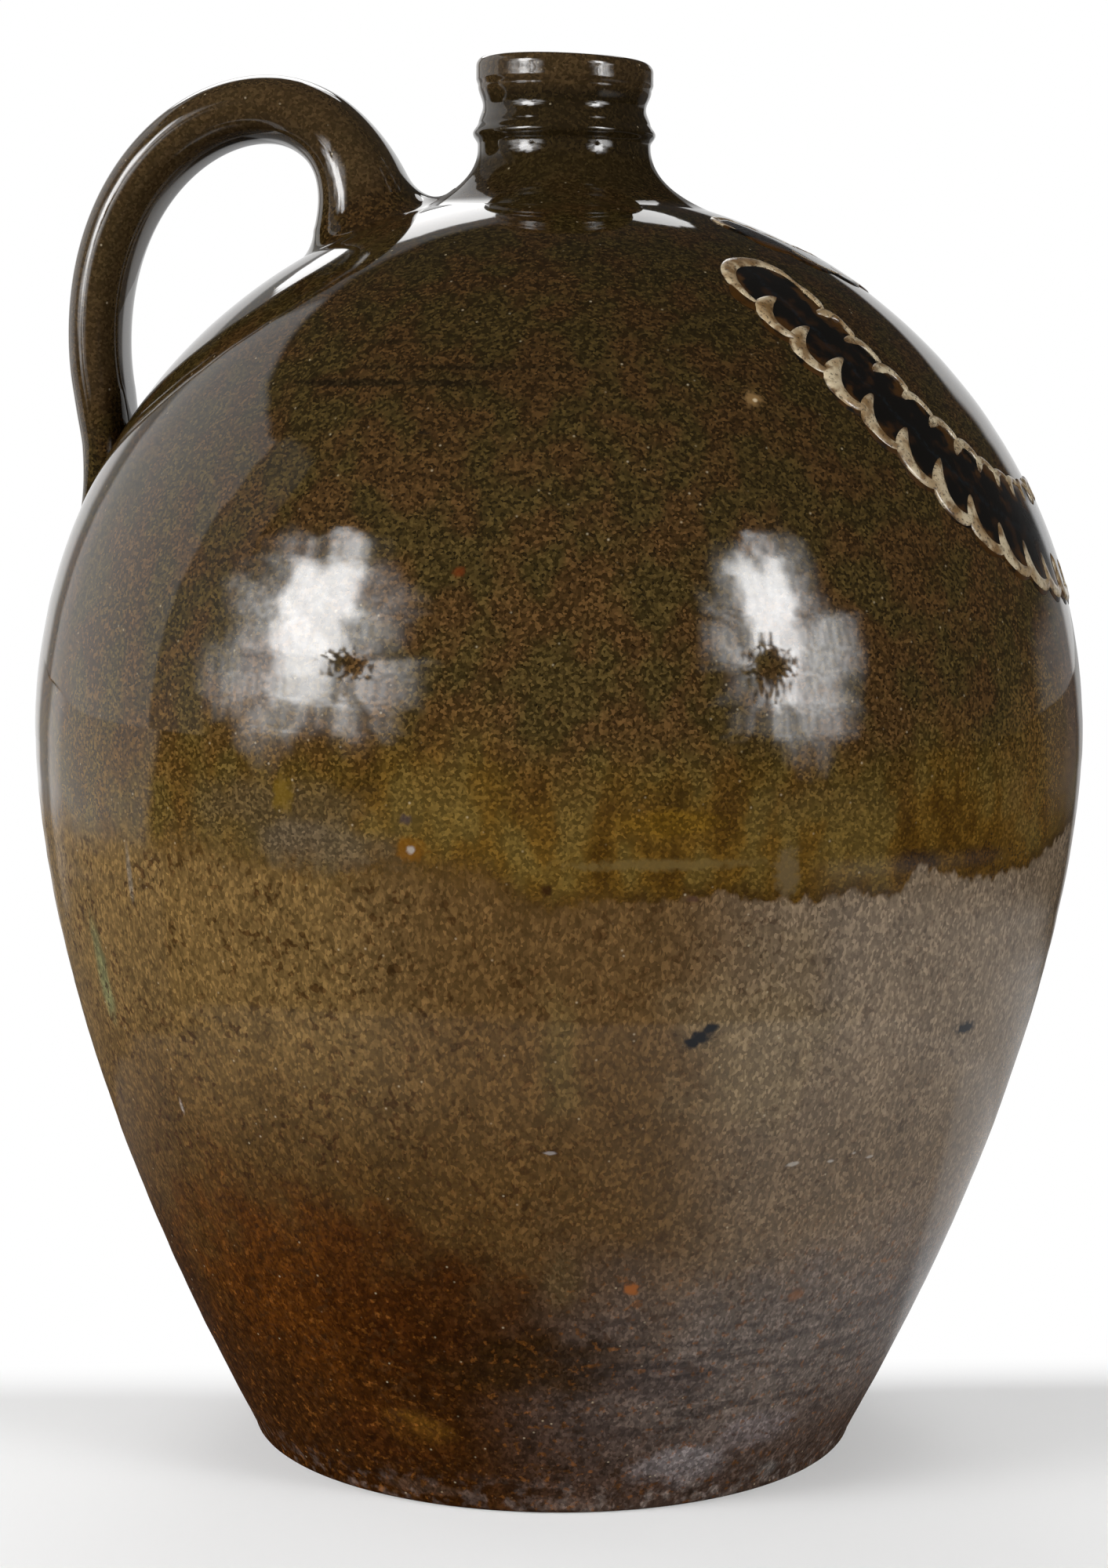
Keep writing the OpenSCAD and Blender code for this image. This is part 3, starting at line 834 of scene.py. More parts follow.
@dataclass(frozen=True)
class CreamSlip:
    """Cream slip under a clear glaze, stained and pitted, running to amber at the tips of its strokes."""

    name: str = "cream_slip"
    cream: str = "a48c69"
    pale: str = "cbbb9c"
    stain: str = "705128"
    amber: str = "4c3210"
    pit: str = "2c1e0e"
    cloud_size: float = 6.0 * MM
    grain_size: float = 0.9 * MM
    stain_size: float = 4.8 * MM
    swell: float = 0.10 * MM
    hole: float = 0.06 * MM
    pale_cut: Span = (0.38, 0.6)
    stain_cut: Span = (0.43, 0.62)
    stain_share: float = 0.85
    side_break: float = 1.4
    side_cut: Span = (0.82, 1.08)
    tip_break: float = 1.2
    tip_cut: Span = (0.35, 0.95)
    hole_cut: Span = (0.57, 0.66)
    hole_share: float = 0.75
    rough: float = 0.3
    rough_spread: float = 0.15

    def material(self) -> bpy.types.Material:
        """Write the finish.

        Returns:
            The material of the cream lines.
        """
        material = bpy.data.materials.new(self.name)
        material.use_nodes = True
        book = NodeBook(material.node_tree)
        ground = Ground(book)
        tip, side = (book.node("ShaderNodeAttribute", {"attribute_name": name})["Fac"]
                     for name in ("tip", "side"))
        cloud = ground.grain(self.cloud_size, 3.0)
        fine = ground.grain(self.grain_size, 2.0, shift=2.0)
        colour = book.blend(cloud.rise(*self.pale_cut), tone(self.cream), tone(self.pale))
        stain = ground.grain(self.stain_size, 4.0, shift=4.0)
        colour = book.blend(stain.rise(*self.stain_cut) * self.stain_share, colour, tone(self.stain))
        sides = (side + self.side_break * (stain - 0.5)).rise(*self.side_cut)
        colour = book.blend(sides, colour, tone(self.amber))
        tips = (tip + self.tip_break * (cloud - 0.5)).rise(*self.tip_cut)
        colour = book.blend(tips, colour, tone(self.amber))
        holes = fine.rise(*self.hole_cut)
        colour = book.blend(holes * self.hole_share, colour, tone(self.pit))
        bump = book.bump(self.swell * cloud - self.hole * holes)
        shader = book.node("ShaderNodeBsdfPrincipled", None, {
            "Base Color": colour, "Roughness": self.rough + self.rough_spread * cloud, "Coat Weight": 0.6,
            "Coat Roughness": 0.08, "Normal": bump})["BSDF"]
        book.node("ShaderNodeOutputMaterial", None, {"Surface": shader})
        return material


class Tree:
    """A geometry tree with named inputs."""

    def __init__(self, name: str, inputs: dict[str, str]) -> None:
        """Start the tree.

        Args:
            name: Name of the tree.
            inputs: Socket type of each named input.
        """
        self.group = bpy.data.node_groups.new(name, "GeometryNodeTree")
        self.book = NodeBook(self.group)
        self.group.interface.new_socket("Geometry", in_out="INPUT", socket_type="NodeSocketGeometry")
        self.group.interface.new_socket("Geometry", in_out="OUTPUT", socket_type="NodeSocketGeometry")
        self.identifiers = {}
        for label, kind in inputs.items():
            socket = self.group.interface.new_socket(label, in_out="INPUT", socket_type=kind)
            self.identifiers[label] = socket.identifier
        self.given = self.book.node("NodeGroupInput")

    def close(self, geometry: Wire) -> None:
        """End the tree with plain smooth geometry in the given material.

        Args:
            geometry: What the tree made.
        """
        solid = self.book.node("GeometryNodeRealizeInstances", None, {"Geometry": geometry})[0]
        smooth = self.book.node("GeometryNodeSetShadeSmooth", None, {"Geometry": solid})[0]
        dressed = self.book.node("GeometryNodeSetMaterial", None,
                                 {"Geometry": smooth, "Material": self.given["Material"]})[0]
        self.book.node("NodeGroupOutput", None, {"Geometry": dressed})

    def run(self, host: bpy.types.Object, values: dict[str, Any]) -> bpy.types.Object:
        """Run the tree on an object and keep the result as its plain mesh.

        Args:
            host: Object that takes the tree.
            values: Value of each named input.

        Returns:
            The same object.
        """
        modifier = host.modifiers.new(self.group.name, "NODES")
        modifier.node_group = self.group
        for label, value in values.items():
            modifier[self.identifiers[label]] = value
        graph = bpy.context.evaluated_depsgraph_get()
        mesh = bpy.data.meshes.new_from_object(host.evaluated_get(graph))
        host.modifiers.clear()
        host.data = mesh
        return host


def add_object(name: str, points: Sequence[Sequence[float]], edges: Sequence[Sequence[int]] = (),
               faces: Sequence[Sequence[int]] = ()) -> bpy.types.Object:
    """Add a mesh object at the origin.

    Args:
        name: Name of the object.
        points: Corners.
        edges: Pairs of corners.
        faces: Rings of corners.

    Returns:
        The object, in the scene.
    """
    mesh = bpy.data.meshes.new(name)
    mesh.from_pydata([tuple(p) for p in points], [tuple(e) for e in edges], [tuple(f) for f in faces])
    thing = bpy.data.objects.new(name, mesh)
    bpy.context.scene.collection.objects.link(thing)
    return thing


def skin(rings: int, n: int) -> list[tuple[int, ...]]:
    """Faces between rings of n corners each."""
    return [(i * n + j, i * n + (j + 1) % n, (i + 1) * n + (j + 1) % n, (i + 1) * n + j)
            for i in range(rings - 1) for j in range(n)]


def discard(things: Sequence[bpy.types.Object]) -> None:
    """Remove helper objects from the file."""
    for thing in things:
        bpy.data.objects.remove(thing, do_unlink=True)


def face_outwards(thing: bpy.types.Object, crease: float) -> None:
    """Turn the faces of closed shells outwards, and keep edges over an angle crisp.

    Args:
        thing: The object.
        crease: Angle in degrees.
    """
    work = bmesh.new()
    work.from_mesh(thing.data)
    bmesh.ops.recalc_face_normals(work, faces=work.faces)
    work.to_mesh(thing.data)
    work.free()
    thing.data.set_sharp_from_angle(angle=math.radians(crease))


def present(thing: bpy.types.Object, node: str) -> None:
    """Hand a finished piece to the frame.

    Args:
        thing: The piece.
        node: The CAD node that it takes the place of.
    """
    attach(thing, "root")
    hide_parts(node)
    LOG.info("%s: %d faces in place of %s", thing.name, len(thing.data.polygons), node)


class Wheel:
    """Turns an outline round the axis, as a potter's wheel does, with the slight ripple that hands leave."""

    RIPPLE_H: float = 14.0 * MM
    RIPPLE_CUT: Span = (0.3, 0.7)
    RIPPLE_FROM: float = 20.0 * MM
    WELD: float = 0.002 * MM

    def __init__(self) -> None:
        """Write the tree."""
        self.tree = Tree("turned_on_the_wheel", {
            "Outline": "NodeSocketObject", "Points": "NodeSocketInt", "Sides": "NodeSocketInt",
            "Ripple": "NodeSocketFloat", "Ripple Height": "NodeSocketFloat", "Lean": "NodeSocketFloat",
            "Lean From": "NodeSocketFloat", "Lean To": "NodeSocketFloat", "Rim Radius": "NodeSocketFloat",
            "Material": "NodeSocketMaterial"})
        book, given = self.tree.book, self.tree.given
        outline = book.node("GeometryNodeObjectInfo", None, {"Object": given["Outline"]})["Geometry"]
        grid = book.node("GeometryNodeMeshGrid", None, {
            "Vertices X": given["Sides"] + 1.0, "Vertices Y": given["Points"]})["Mesh"]
        index = book.node("GeometryNodeInputIndex")[0]
        column = book.math("FLOOR", (index + 0.5) / given["Points"])
        row = index - column * given["Points"]
        place = book.node("GeometryNodeInputPosition")[0]
        spot = book.node("GeometryNodeSampleIndex", {"data_type": "FLOAT_VECTOR", "domain": "POINT"},
                         {"Geometry": outline, "Value": place, "Index": row})[0]
        radius, _, height = book.split(spot)
        angle = column * math.tau / given["Sides"]
        cosine, sine = book.math("COSINE", angle), book.math("SINE", angle)
        lie = book.join(cosine * 0.5, sine * 0.5, height / given["Ripple Height"])
        wave = book.node("ShaderNodeTexNoise", {"noise_dimensions": "3D"},
                         {"Vector": lie, "Scale": 1.0, "Detail": 2.0})[0]
        radius = radius - given["Ripple"] * wave.rise(*self.RIPPLE_CUT) * radius.rise(0.0, self.RIPPLE_FROM)
        share = (height - given["Lean From"]) / (given["Lean To"] - given["Lean From"])
        sink = given["Lean"] * share.rise(0.0, 1.0) * (radius * cosine + given["Rim Radius"])
        turned = book.node("GeometryNodeSetPosition", None, {
            "Geometry": grid, "Position": book.join(radius * cosine, radius * sine, height - sink)})[0]
        merged = book.node("GeometryNodeMergeByDistance", None,
                           {"Geometry": turned, "Distance": self.WELD})[0]
        self.tree.close(merged)

    def turn(self, name: str, outline: Sequence[Span], sides: int, material: bpy.types.Material,
             ripple: float, crease: float, lean: float = 0.0, lean_from: float = 0.0, lean_to: float = 1.0,
             rim_r: float = 0.0) -> bpy.types.Object:
        """Turn one piece.

        Args:
            name: Name of the piece.
            outline: Distances from the axis and heights, right round the section.
            sides: Number of facets round the axis.
            material: Its finish.
            ripple: Depth of the finger marks.
            crease: Angle in degrees over which edges stay crisp.
            lean: Slope by which the top sinks towards +X.
            lean_from: Height where that begins.
            lean_to: Height where it is full.
            rim_r: Radius of the rim that leans.

        Returns:
            The piece.
        """
        line = add_object(name + "_outline", [(r, 0.0, z) for r, z in outline],
                          [(i, i + 1) for i in range(len(outline) - 1)])
        piece = add_object(name, [])
        self.tree.run(piece, {
            "Outline": line, "Points": len(outline), "Sides": sides, "Ripple": ripple,
            "Ripple Height": self.RIPPLE_H, "Lean": lean, "Lean From": lean_from, "Lean To": lean_to,
            "Rim Radius": rim_r, "Material": material})
        face_outwards(piece, crease)
        discard([line])
        return piece


def arc(r: float, z: float, radius: float, start: float, end: float, steps: int) -> list[Span]:
    """Points of a rounding about a distance from the axis and a height, between two angles in degrees."""
    angles = [math.radians(mix(start, end, i / steps)) for i in range(steps + 1)]
    return [(r + radius * math.cos(a), z + radius * math.sin(a)) for a in angles]


@dataclass(frozen=True)
class LowerBody:
    """Thrown lower section, with its floor and the rebated rim that takes the shoulder."""

    form: JugForm
    floor_t: float = 11.0 * MM
    foot_round: float = 3.0 * MM
    floor_round: float = 14.0 * MM
    lap_h: float = 6.0 * MM
    ripple: float = 0.22 * MM
    row_h: float = 1.5 * MM
    inner_rows: int = 36
    floor_rows: int = 8
    under_rows: int = 12
    foot_steps: int = 6
    sides: int = 288
    crease: float = 40.0

    def outline(self) -> list[Span]:
        """Draw the section.

        Returns:
            Its points from the middle of the underside, up the outside and back down the inside.
        """
        form = self.form
        foot_edge = form.lower_r(self.foot_round) - self.foot_round
        lap_r, lap_z = form.belly_r - form.wall / 2, form.belly_z - self.lap_h
        floor_z = self.floor_t + self.floor_round
        floor_edge = form.lower_r(floor_z) - form.wall - self.floor_round
        rows = round((form.belly_z - self.foot_round) / self.row_h)
        under = [(foot_edge * i / self.under_rows, 0.0) for i in range(self.under_rows)]
        outside = [(form.lower_r(z), z) for z in
                   (mix(self.foot_round, form.belly_z, i / rows) for i in range(1, rows + 1))]
        inside = [(form.lower_r(z) - form.wall, z) for z in
                  (mix(lap_z, floor_z, i / self.inner_rows) for i in range(self.inner_rows + 1))]
        floor = [(floor_edge * (1 - i / self.floor_rows), self.floor_t)
                 for i in range(1, self.floor_rows + 1)]
        return (under + arc(foot_edge, self.foot_round, self.foot_round, -90, 0, self.foot_steps) + outside
                + [(lap_r, form.belly_z), (lap_r, lap_z)] + inside
                + arc(floor_edge, floor_z, self.floor_round, 0, -90, self.floor_rows)[1:] + floor)

    def build(self, wheel: Wheel, glaze: bpy.types.Material) -> bpy.types.Object:
        """Turn and dress the piece."""
        return wheel.turn("lower_wall", self.outline(), self.sides, glaze, self.ripple, self.crease)


@dataclass(frozen=True)
class UpperBody:
    """Thrown shoulder, luted into the lower rim, with the seat and opening for the neck."""

    form: JugForm
    opening_r: float = 24.0 * MM
    lap_h: float = 6.0 * MM
    lute: float = 0.2 * MM
    ripple: float = 0.14 * MM
    rows: int = 140
    inner_rows: int = 36
    sides: int = 288
    crease: float = 40.0

    def outline(self) -> list[Span]:
        """Draw the section.

        Returns:
            Its points from the belly up the outside, over the seat and back down the inside.
        """
        form = self.form
        inner_r = form.belly_r - form.wall
        ceiling_h = form.seat_z - form.wall - form.belly_z
        seat_angle = math.acos(form.neck_foot_r / form.belly_r)
        opening_angle = math.acos(self.opening_r / inner_r)
        tongue_z = form.belly_z - self.lap_h + self.lute
        tongue_r = form.belly_r - form.wall / 2 - self.lute
        outside = [(form.belly_r * math.cos(a), form.belly_z + form.shoulder_h * math.sin(a)) for a in
                   (seat_angle * i / self.rows for i in range(self.rows + 1))]
        inside = [(inner_r * math.cos(a), form.belly_z + ceiling_h * math.sin(a)) for a in
                  (opening_angle * (1 - i / self.inner_rows) for i in range(self.inner_rows + 1))]
        return (outside + [(self.opening_r, form.seat_z)] + inside
                + [(inner_r, tongue_z), (tongue_r, tongue_z), (tongue_r, form.belly_z), outside[0]])

    def build(self, wheel: Wheel, glaze: bpy.types.Material) -> bpy.types.Object:
        """Turn and dress the piece."""
        return wheel.turn("shoulder", self.outline(), self.sides, glaze, self.ripple, self.crease)


def match_seam(pieces: Sequence[bpy.types.Object], form: JugForm, close: float = 0.02 * MM,
               depth: float = 2.0 * MM) -> None:
    """Give two turned pieces the same normals where their outsides meet at the belly.

    Args:
        pieces: The pieces.
        form: The jug's outline.
        close: Distance within which corners are taken to meet.
        depth: How far in from the belly a face still counts as outside.
    """
    sums: dict[tuple[int, int], Vector] = {}
    corners = []
    for piece in pieces:
        mesh = piece.data
        normals = [Vector(n.vector) for n in mesh.corner_normals]
        found = []
        for polygon in mesh.polygons:
            middle = polygon.center.xy
            if polygon.normal.xy.dot(middle) < middle.length / 2 or middle.length < form.belly_r - depth:
                continue
            for corner in polygon.loop_indices:
                point = mesh.vertices[mesh.loops[corner].vertex_index].co
                if abs(point.z - form.belly_z) < close:
                    key = (round(point.x / close), round(point.y / close))
                    sums[key] = sums.get(key, Vector()) + normals[corner]
                    found.append((corner, key))
        corners.append((mesh, normals, found))
    for mesh, normals, found in corners:
        for corner, key in found:
            normals[corner] = sums[key].normalized()
        mesh.normals_split_custom_set([tuple(n) for n in normals])


@dataclass(frozen=True)
class Neck:
    """Thrown neck with a flared foot, a bead, a cove and a lip that leans a little."""

    form: JugForm
    height: float = 46.0 * MM
    mouth_r: float = 16.0 * MM
    spigot_r: float = 23.8 * MM
    spigot_h: float = 10.0 * MM
    bead_z: float = 22.6 * MM
    bead_h: float = 6.8 * MM
    bead_proud: float = 1.5 * MM
    cove_z: float = 31.0 * MM
    cove_h: float = 12.0 * MM
    cove_deep: float = 1.5 * MM
    lip_h: float = 9.0 * MM
    lip_proud: float = 0.6 * MM
    lip_round: float = 3.0 * MM
    lip_edge_share: float = 0.25
    lean: float = 0.034
    ripple: float = 0.25 * MM
    collar_rows: int = 32
    rows: int = 84
    mouth_rows: int = 20
    lip_steps: int = 8
    sides: int = 192
    crease: float = 50.0

    @staticmethod
    def hump(u: float) -> float:
        """Smooth hump of height 1 between -1 and 1."""
        return (1 + math.cos(math.pi * u)) / 2 if abs(u) < 1 else 0.0

    def out_r(self, h: float) -> float:
        """Find the radius of the outside.

        Args:
            h: Height above the seat.

        Returns:
            The radius.
        """
        bead = self.bead_proud * self.hump(2 * (h - self.bead_z) / self.bead_h)
        cove = self.cove_deep * self.hump(2 * (h - self.cove_z) / self.cove_h)
        rise = (h - (self.height - self.lip_h)) / (self.lip_h * self.lip_edge_share)
        lip = self.lip_proud * (1 - self.hump(min(1.0, max(0.0, rise))))
        return self.form.neck_r + bead - cove + lip

    def outline(self) -> list[Span]:
        """Draw the section.

        Returns:
            Its points from the flared foot up the outside, over the lip and down the mouth.
        """
        seat, top = self.form.seat_z, self.height - self.lip_round
        lip_r = self.out_r(top) - self.lip_round
        heights = [mix(self.form.collar_top - seat, top, i / self.rows) for i in range(self.rows + 1)]
        outside = [self.form.collar(i / self.collar_rows) for i in range(self.collar_rows)]
        outside += [(self.out_r(h), seat + h) for h in heights]
        mouth = [(self.mouth_r, mix(seat + top, seat - self.spigot_h, i / self.mouth_rows))
                 for i in range(1, self.mouth_rows + 1)]
        return (outside + arc(lip_r, seat + top, self.lip_round, 0, 90, self.lip_steps)[1:]
                + arc(self.mouth_r + self.lip_round, seat + top, self.lip_round, 90, 180, self.lip_steps)
                + mouth + [(self.spigot_r, seat - self.spigot_h), (self.spigot_r, seat), outside[0]])

    def build(self, wheel: Wheel, glaze: bpy.types.Material) -> bpy.types.Object:
        """Turn and dress the piece."""
        return wheel.turn("ringed_neck", self.outline(), self.sides, glaze, self.ripple, self.crease,
                          self.lean, self.form.collar_top, self.form.seat_z + self.height, self.form.neck_r)


@dataclass(frozen=True)
class StrapHandle:
    """Pulled strap, pressed on the shoulder at its upper root and smeared down the wall below."""

    form: JugForm
    root_r: float = 60.3 * MM
    strap_t_root: float = 24.0 * MM
    strap_t_foot: float = 17.0 * MM
    strap_w_root: float = 40.0 * MM
    strap_w_foot: float = 34.0 * MM
    root_spread_t: float = 10.0 * MM
    root_spread_w: float = 12.0 * MM
    pull_up: float = 69.0 * MM
    pull_down: float = 102.0 * MM
    lean_up: float = 5.0
    lean_down: float = 13.0
    foot_lift: float = 7.0 * MM
    tail_len: float = 28.0 * MM
    tail_t: float = 2.5 * MM
    tail_w: float = 18.0 * MM
    foot_z: float = 314.06 * MM
    corner_power: float = 0.8
    taper: float = 1.5
    spread_share: float = 0.2
    wrap_power: float = 6.0
    fillet: float = 7.0 * MM
    fillet_neck: float = 13.0 * MM
    tuck: float = 0.4 * MM
    sink: float = 1.5 * MM
    root_start: float = -0.12
    root_end: float = 0.3
    root_rows: int = 44
    root_crowd: float = 1.7
    nudge: float = 0.002
    ease: int = 14
    stations: int = 110
    tail_stations: int = 40
    sides: int = 72
    crease: float = 60.0

    def spine(self, t: float) -> Vector:
        """Find the middle of the strap.

        Args:
            t: Place along it, from 0 at the upper root to 1 at the foot.

        Returns:
            Distance from the axis and height.
        """
        root = Vector((self.root_r, self.form.dome_z(self.root_r)))
        foot = Vector((self.form.dome_r(self.foot_z) + self.foot_lift, self.foot_z))
        up, down = math.radians(self.lean_up), math.radians(self.lean_down)
        rise = root + self.pull_up * Vector((math.sin(up), math.cos(up)))
        fall = foot + self.pull_down * Vector((math.sin(down), math.cos(down)))
        s = 1 - t
        return s ** 3 * root + 3 * s * s * t * rise + 3 * s * t * t * fall + t ** 3 * foot

    def station(self, t: float) -> Station:
        """Find the size of the strap.

        Args:
            t: Place along it.

        Returns:
            Its middle, half its thickness, half its width and how far it wraps round the jug.
        """
        left = 1 - max(0.0, t)
        growth = max(0.0, 1 - max(0.0, t) / self.spread_share) ** 2
        thick = mix(self.strap_t_foot, self.strap_t_root, left ** self.taper) + self.root_spread_t * growth
        wide = mix(self.strap_w_foot, self.strap_w_root, left) + self.root_spread_w * growth
        return self.spine(t), thick / 2, wide / 2, (1 - left) ** self.wrap_power

    def tail_station(self, t: float) -> Station:
        """Find the size of the tail.

        Args:
            t: Place along it.

        Returns:
            Its middle, half its thickness, half its width and how far it wraps round the jug.
        """
        z = self.foot_z - self.tail_len * t
        lift = self.foot_lift * (1 - t) ** 2
        proud = mix(self.tail_t, self.foot_lift + self.strap_t_foot / 2, (1 - t) ** self.taper)
        wide = mix(self.strap_w_foot, self.tail_w, t)
        return Vector((self.form.dome_r(z) + lift, z)), proud - lift, wide / 2, 1.0

    def drawn(self, c: float) -> float:
        """Sine or cosine drawn out towards the corners of the strap."""
        return math.copysign(abs(c) ** self.corner_power, c)

    def corner(self, at: Station, side: Vector, angle: float) -> Vector:
        """Point on the strap's skin.

        Args:
            at: Middle, half thickness, half width and wrap.
            side: Direction across the strap's thickness.
            angle: Angle round the strap, from 0 on the side of the neck.

        Returns:
            The point.
        """
        spine, half_t, half_w, wrap = at
        p = spine + side * half_t * self.drawn(math.cos(angle))
        y = half_w * self.drawn(math.sin(angle))
        bend = wrap * (p.x - math.sqrt(max(0.0, p.x * p.x - y * y)))
        return Vector((bend - p.x, y, p.y))

    def strap_point(self, t: float, angle: float) -> Vector:
        """Point on the skin of the strap between its root and its foot."""
        run = self.spine(t + self.nudge) - self.spine(t - self.nudge)
        return self.corner(self.station(t), Vector((-run.y, run.x)).normalized(), angle)

    def over(self, point: Vector) -> float:
        """Height of a point over the shoulder."""
        return (self.form.reach(point, 0.0) - 1) * self.form.shoulder_h

    def root_column(self, angle: float) -> list[Vector]:
        """Line up the strap from the shoulder, spread into a fillet where it rises from it.

        Args:
            angle: Angle round the strap.

        Returns:
            Points from under the shoulder's skin to the plain strap.
        """
        low, high = self.root_start, self.root_end
        while high - low > self.nudge ** 2:
            middle = (low + high) / 2
            low, high = (middle, high) if self.over(self.strap_point(middle, angle)) < 0 else (low, middle)
        foot = self.strap_point(high, angle)
        root = Vector((-self.root_r, 0, self.form.dome_z(self.root_r)))
        squash = (self.form.belly_r / self.form.shoulder_h) ** 2
        normal = Vector((foot.x, foot.y, (foot.z - self.form.belly_z) * squash)).normalized()
        away = foot - root
        away = (away - normal * away.dot(normal)).normalized()
        radius = mix(self.fillet, self.fillet_neck, max(0.0, math.cos(angle)) ** 2)
        column = [self.form.onto_dome(foot, -self.sink)]
        for i in range(self.root_rows + 1):
            t = mix(high, self.root_end, (i / self.root_rows) ** self.root_crowd)
            point = self.strap_point(t, angle)
            over = max(0.0, self.over(point))
            if over < radius:
                near = 1 - over / radius
                moved = point + away * radius * (1 - math.sqrt(1 - near ** 2))
                collar = self.form.collar_over(math.hypot(moved.x, moved.y))
                point = self.form.onto_dome(moved, over + near * (collar - self.tuck))
            column.append(point)
        return column

    def rings(self) -> list[list[Vector]]:
        """Lay out the skin.

        Returns:
            Rings from the upper root to the end of the tail.
        """
        angles = [math.tau * j / self.sides for j in range(self.sides)]
        rings = [list(ring) for ring in zip(*(self.root_column(a) for a in angles))]
        for i in range(1, self.stations + 1):
            t = mix(self.root_end, 1.0, i / self.stations)
            rings.append([self.strap_point(t, a) for a in angles])
        bend = len(rings) - 1
        ats = [self.tail_station(i / self.tail_stations) for i in range(self.tail_stations + 1)]
        for i in range(1, len(ats)):
            run = ats[min(i + 1, len(ats) - 1)][0] - ats[i - 1][0]
            side = Vector((-run.y, run.x)).normalized()
            rings.append([self.corner(ats[i], side, a) for a in angles])
        return self.eased(rings, bend)

    def eased(self, rings: list[list[Vector]], bend: int) -> list[list[Vector]]:
        """Rings with the bend into the tail smoothed.

        Args:
            rings: The rings.
            bend: Where in them the tail begins.

        Returns:
            The smoothed rings.
        """
        smooth = list(rings)
        for i in range(bend - self.ease, bend + self.ease + 1):
            reach = min(i - bend + self.ease, bend + self.ease - i, self.ease // 2)
            near = rings[i - reach:i + reach + 1]
            smooth[i] = [sum(column, Vector()) / len(near) for column in zip(*near)]
        return smooth

    def build(self, glaze: bpy.types.Material) -> bpy.types.Object:
        """Skin and dress the piece.

        Args:
            glaze: Its finish.

        Returns:
            The piece.
        """
        rings = self.rings()
        points = [p for ring in rings for p in ring]
        n = self.sides
        faces = skin(len(rings), n)
        for ring in (0, len(rings) - 1):
            middle = sum(rings[ring], Vector()) / n
            points.append(middle)
            faces += [(len(points) - 1, ring * n + j, ring * n + (j + 1) % n) for j in range(n)]
        piece = add_object("strap_handle", points, (), faces)
        face_outwards(piece, self.crease)
        piece.data.polygons.foreach_set("use_smooth", [True] * len(piece.data.polygons))
        piece.data.materials.append(glaze)
        return piece


class Edge(Enum):
    """Edge of a swag that strokes are laid along."""

    LOWER = 1.0
    UPPER = -1.0
    NEITHER = 0.0


@dataclass(frozen=True)
class Stroke:
    """One flat stroke of cream slip, by its points in millimetres.

    Each point gives the length along the edge, the length in from the edge, and half the width.
    """

    name: str
    path: tuple[Triple, ...]
    tip_share: float = 0.0
    height: float = 0.95 * MM
    slope: float = 0.55
    sink: float = 0.3 * MM
    span_steps: int = 4
    section: int = 9
    end_steps: float = 3.0
    end_share: float = 0.2

    def fitted(self, name: str, along: float, aside: float) -> Stroke:
        """Stroke drawn smaller, by a factor along the edge and one on its reach, width and height."""
        path = tuple((x * along, y * aside, w * aside) for x, y, w in self.path)
        return replace(self, name=name, path=path, height=self.height * aside)

    def smooth(self) -> list[Vector]:
        """Round the path through its points.

        Returns:
            Points of the rounded path, with half the width as the third number.
        """
        knots = [Vector(p) * MM for p in self.path]
        knots = [2 * knots[0] - knots[1]] + knots + [2 * knots[-1] - knots[-2]]
        spots = []
        for k in range(len(knots) - 3):
            a, b, c, d = knots[k:k + 4]
            for i in range(self.span_steps + (k == len(knots) - 4)):
                f = i / self.span_steps
                spots.append(0.5 * (2 * b + (c - a) * f + (2 * a - 5 * b + 4 * c - d) * f ** 2
                                    + (3 * b - a - 3 * c + d) * f ** 3))
        return spots

    def build(self) -> bpy.types.Object:
        """Skin the stroke.

        Returns:
            A flat helper object, which knows how near its first point and its sides it is.
        """
        spots = self.smooth()
        last = len(spots) - 1
        n = self.section + 1
        points, tips, sides = [], [], []
        for i, spot in enumerate(spots):
            run = spots[min(i + 1, last)] - spots[max(i - 1, 0)]
            across = Vector((-run.y, run.x)).normalized()
            end = min(1.0, self.end_share + min(i, last - i) / self.end_steps)
            tall = min(self.height, self.slope * spot.z) * math.sqrt(end)
            for j in range(self.section):
                a = math.pi * j / (self.section - 1)
                off = spot.xy + across * spot.z * end * math.cos(a)
                points.append((off.x, off.y, tall * math.sin(a) if 0 < j < self.section - 1 else 0.0))
                sides.append(abs(math.cos(a)))
            points.append((spot.x, spot.y, -self.sink))
            sides.append(1.0)
            tips += [max(0.0, 1 - i / (last * self.tip_share)) if self.tip_share else 0.0] * n
        faces = skin(len(spots), n) + [tuple(range(n)), tuple(range(last * n, last * n + n))]
        stroke = add_object(self.name, points, (), faces)
        for name, values in (("tip", tips), ("side", sides)):
            stroke.data.attributes.new(name, "FLOAT", "POINT").data.foreach_set("value", values)
        return stroke


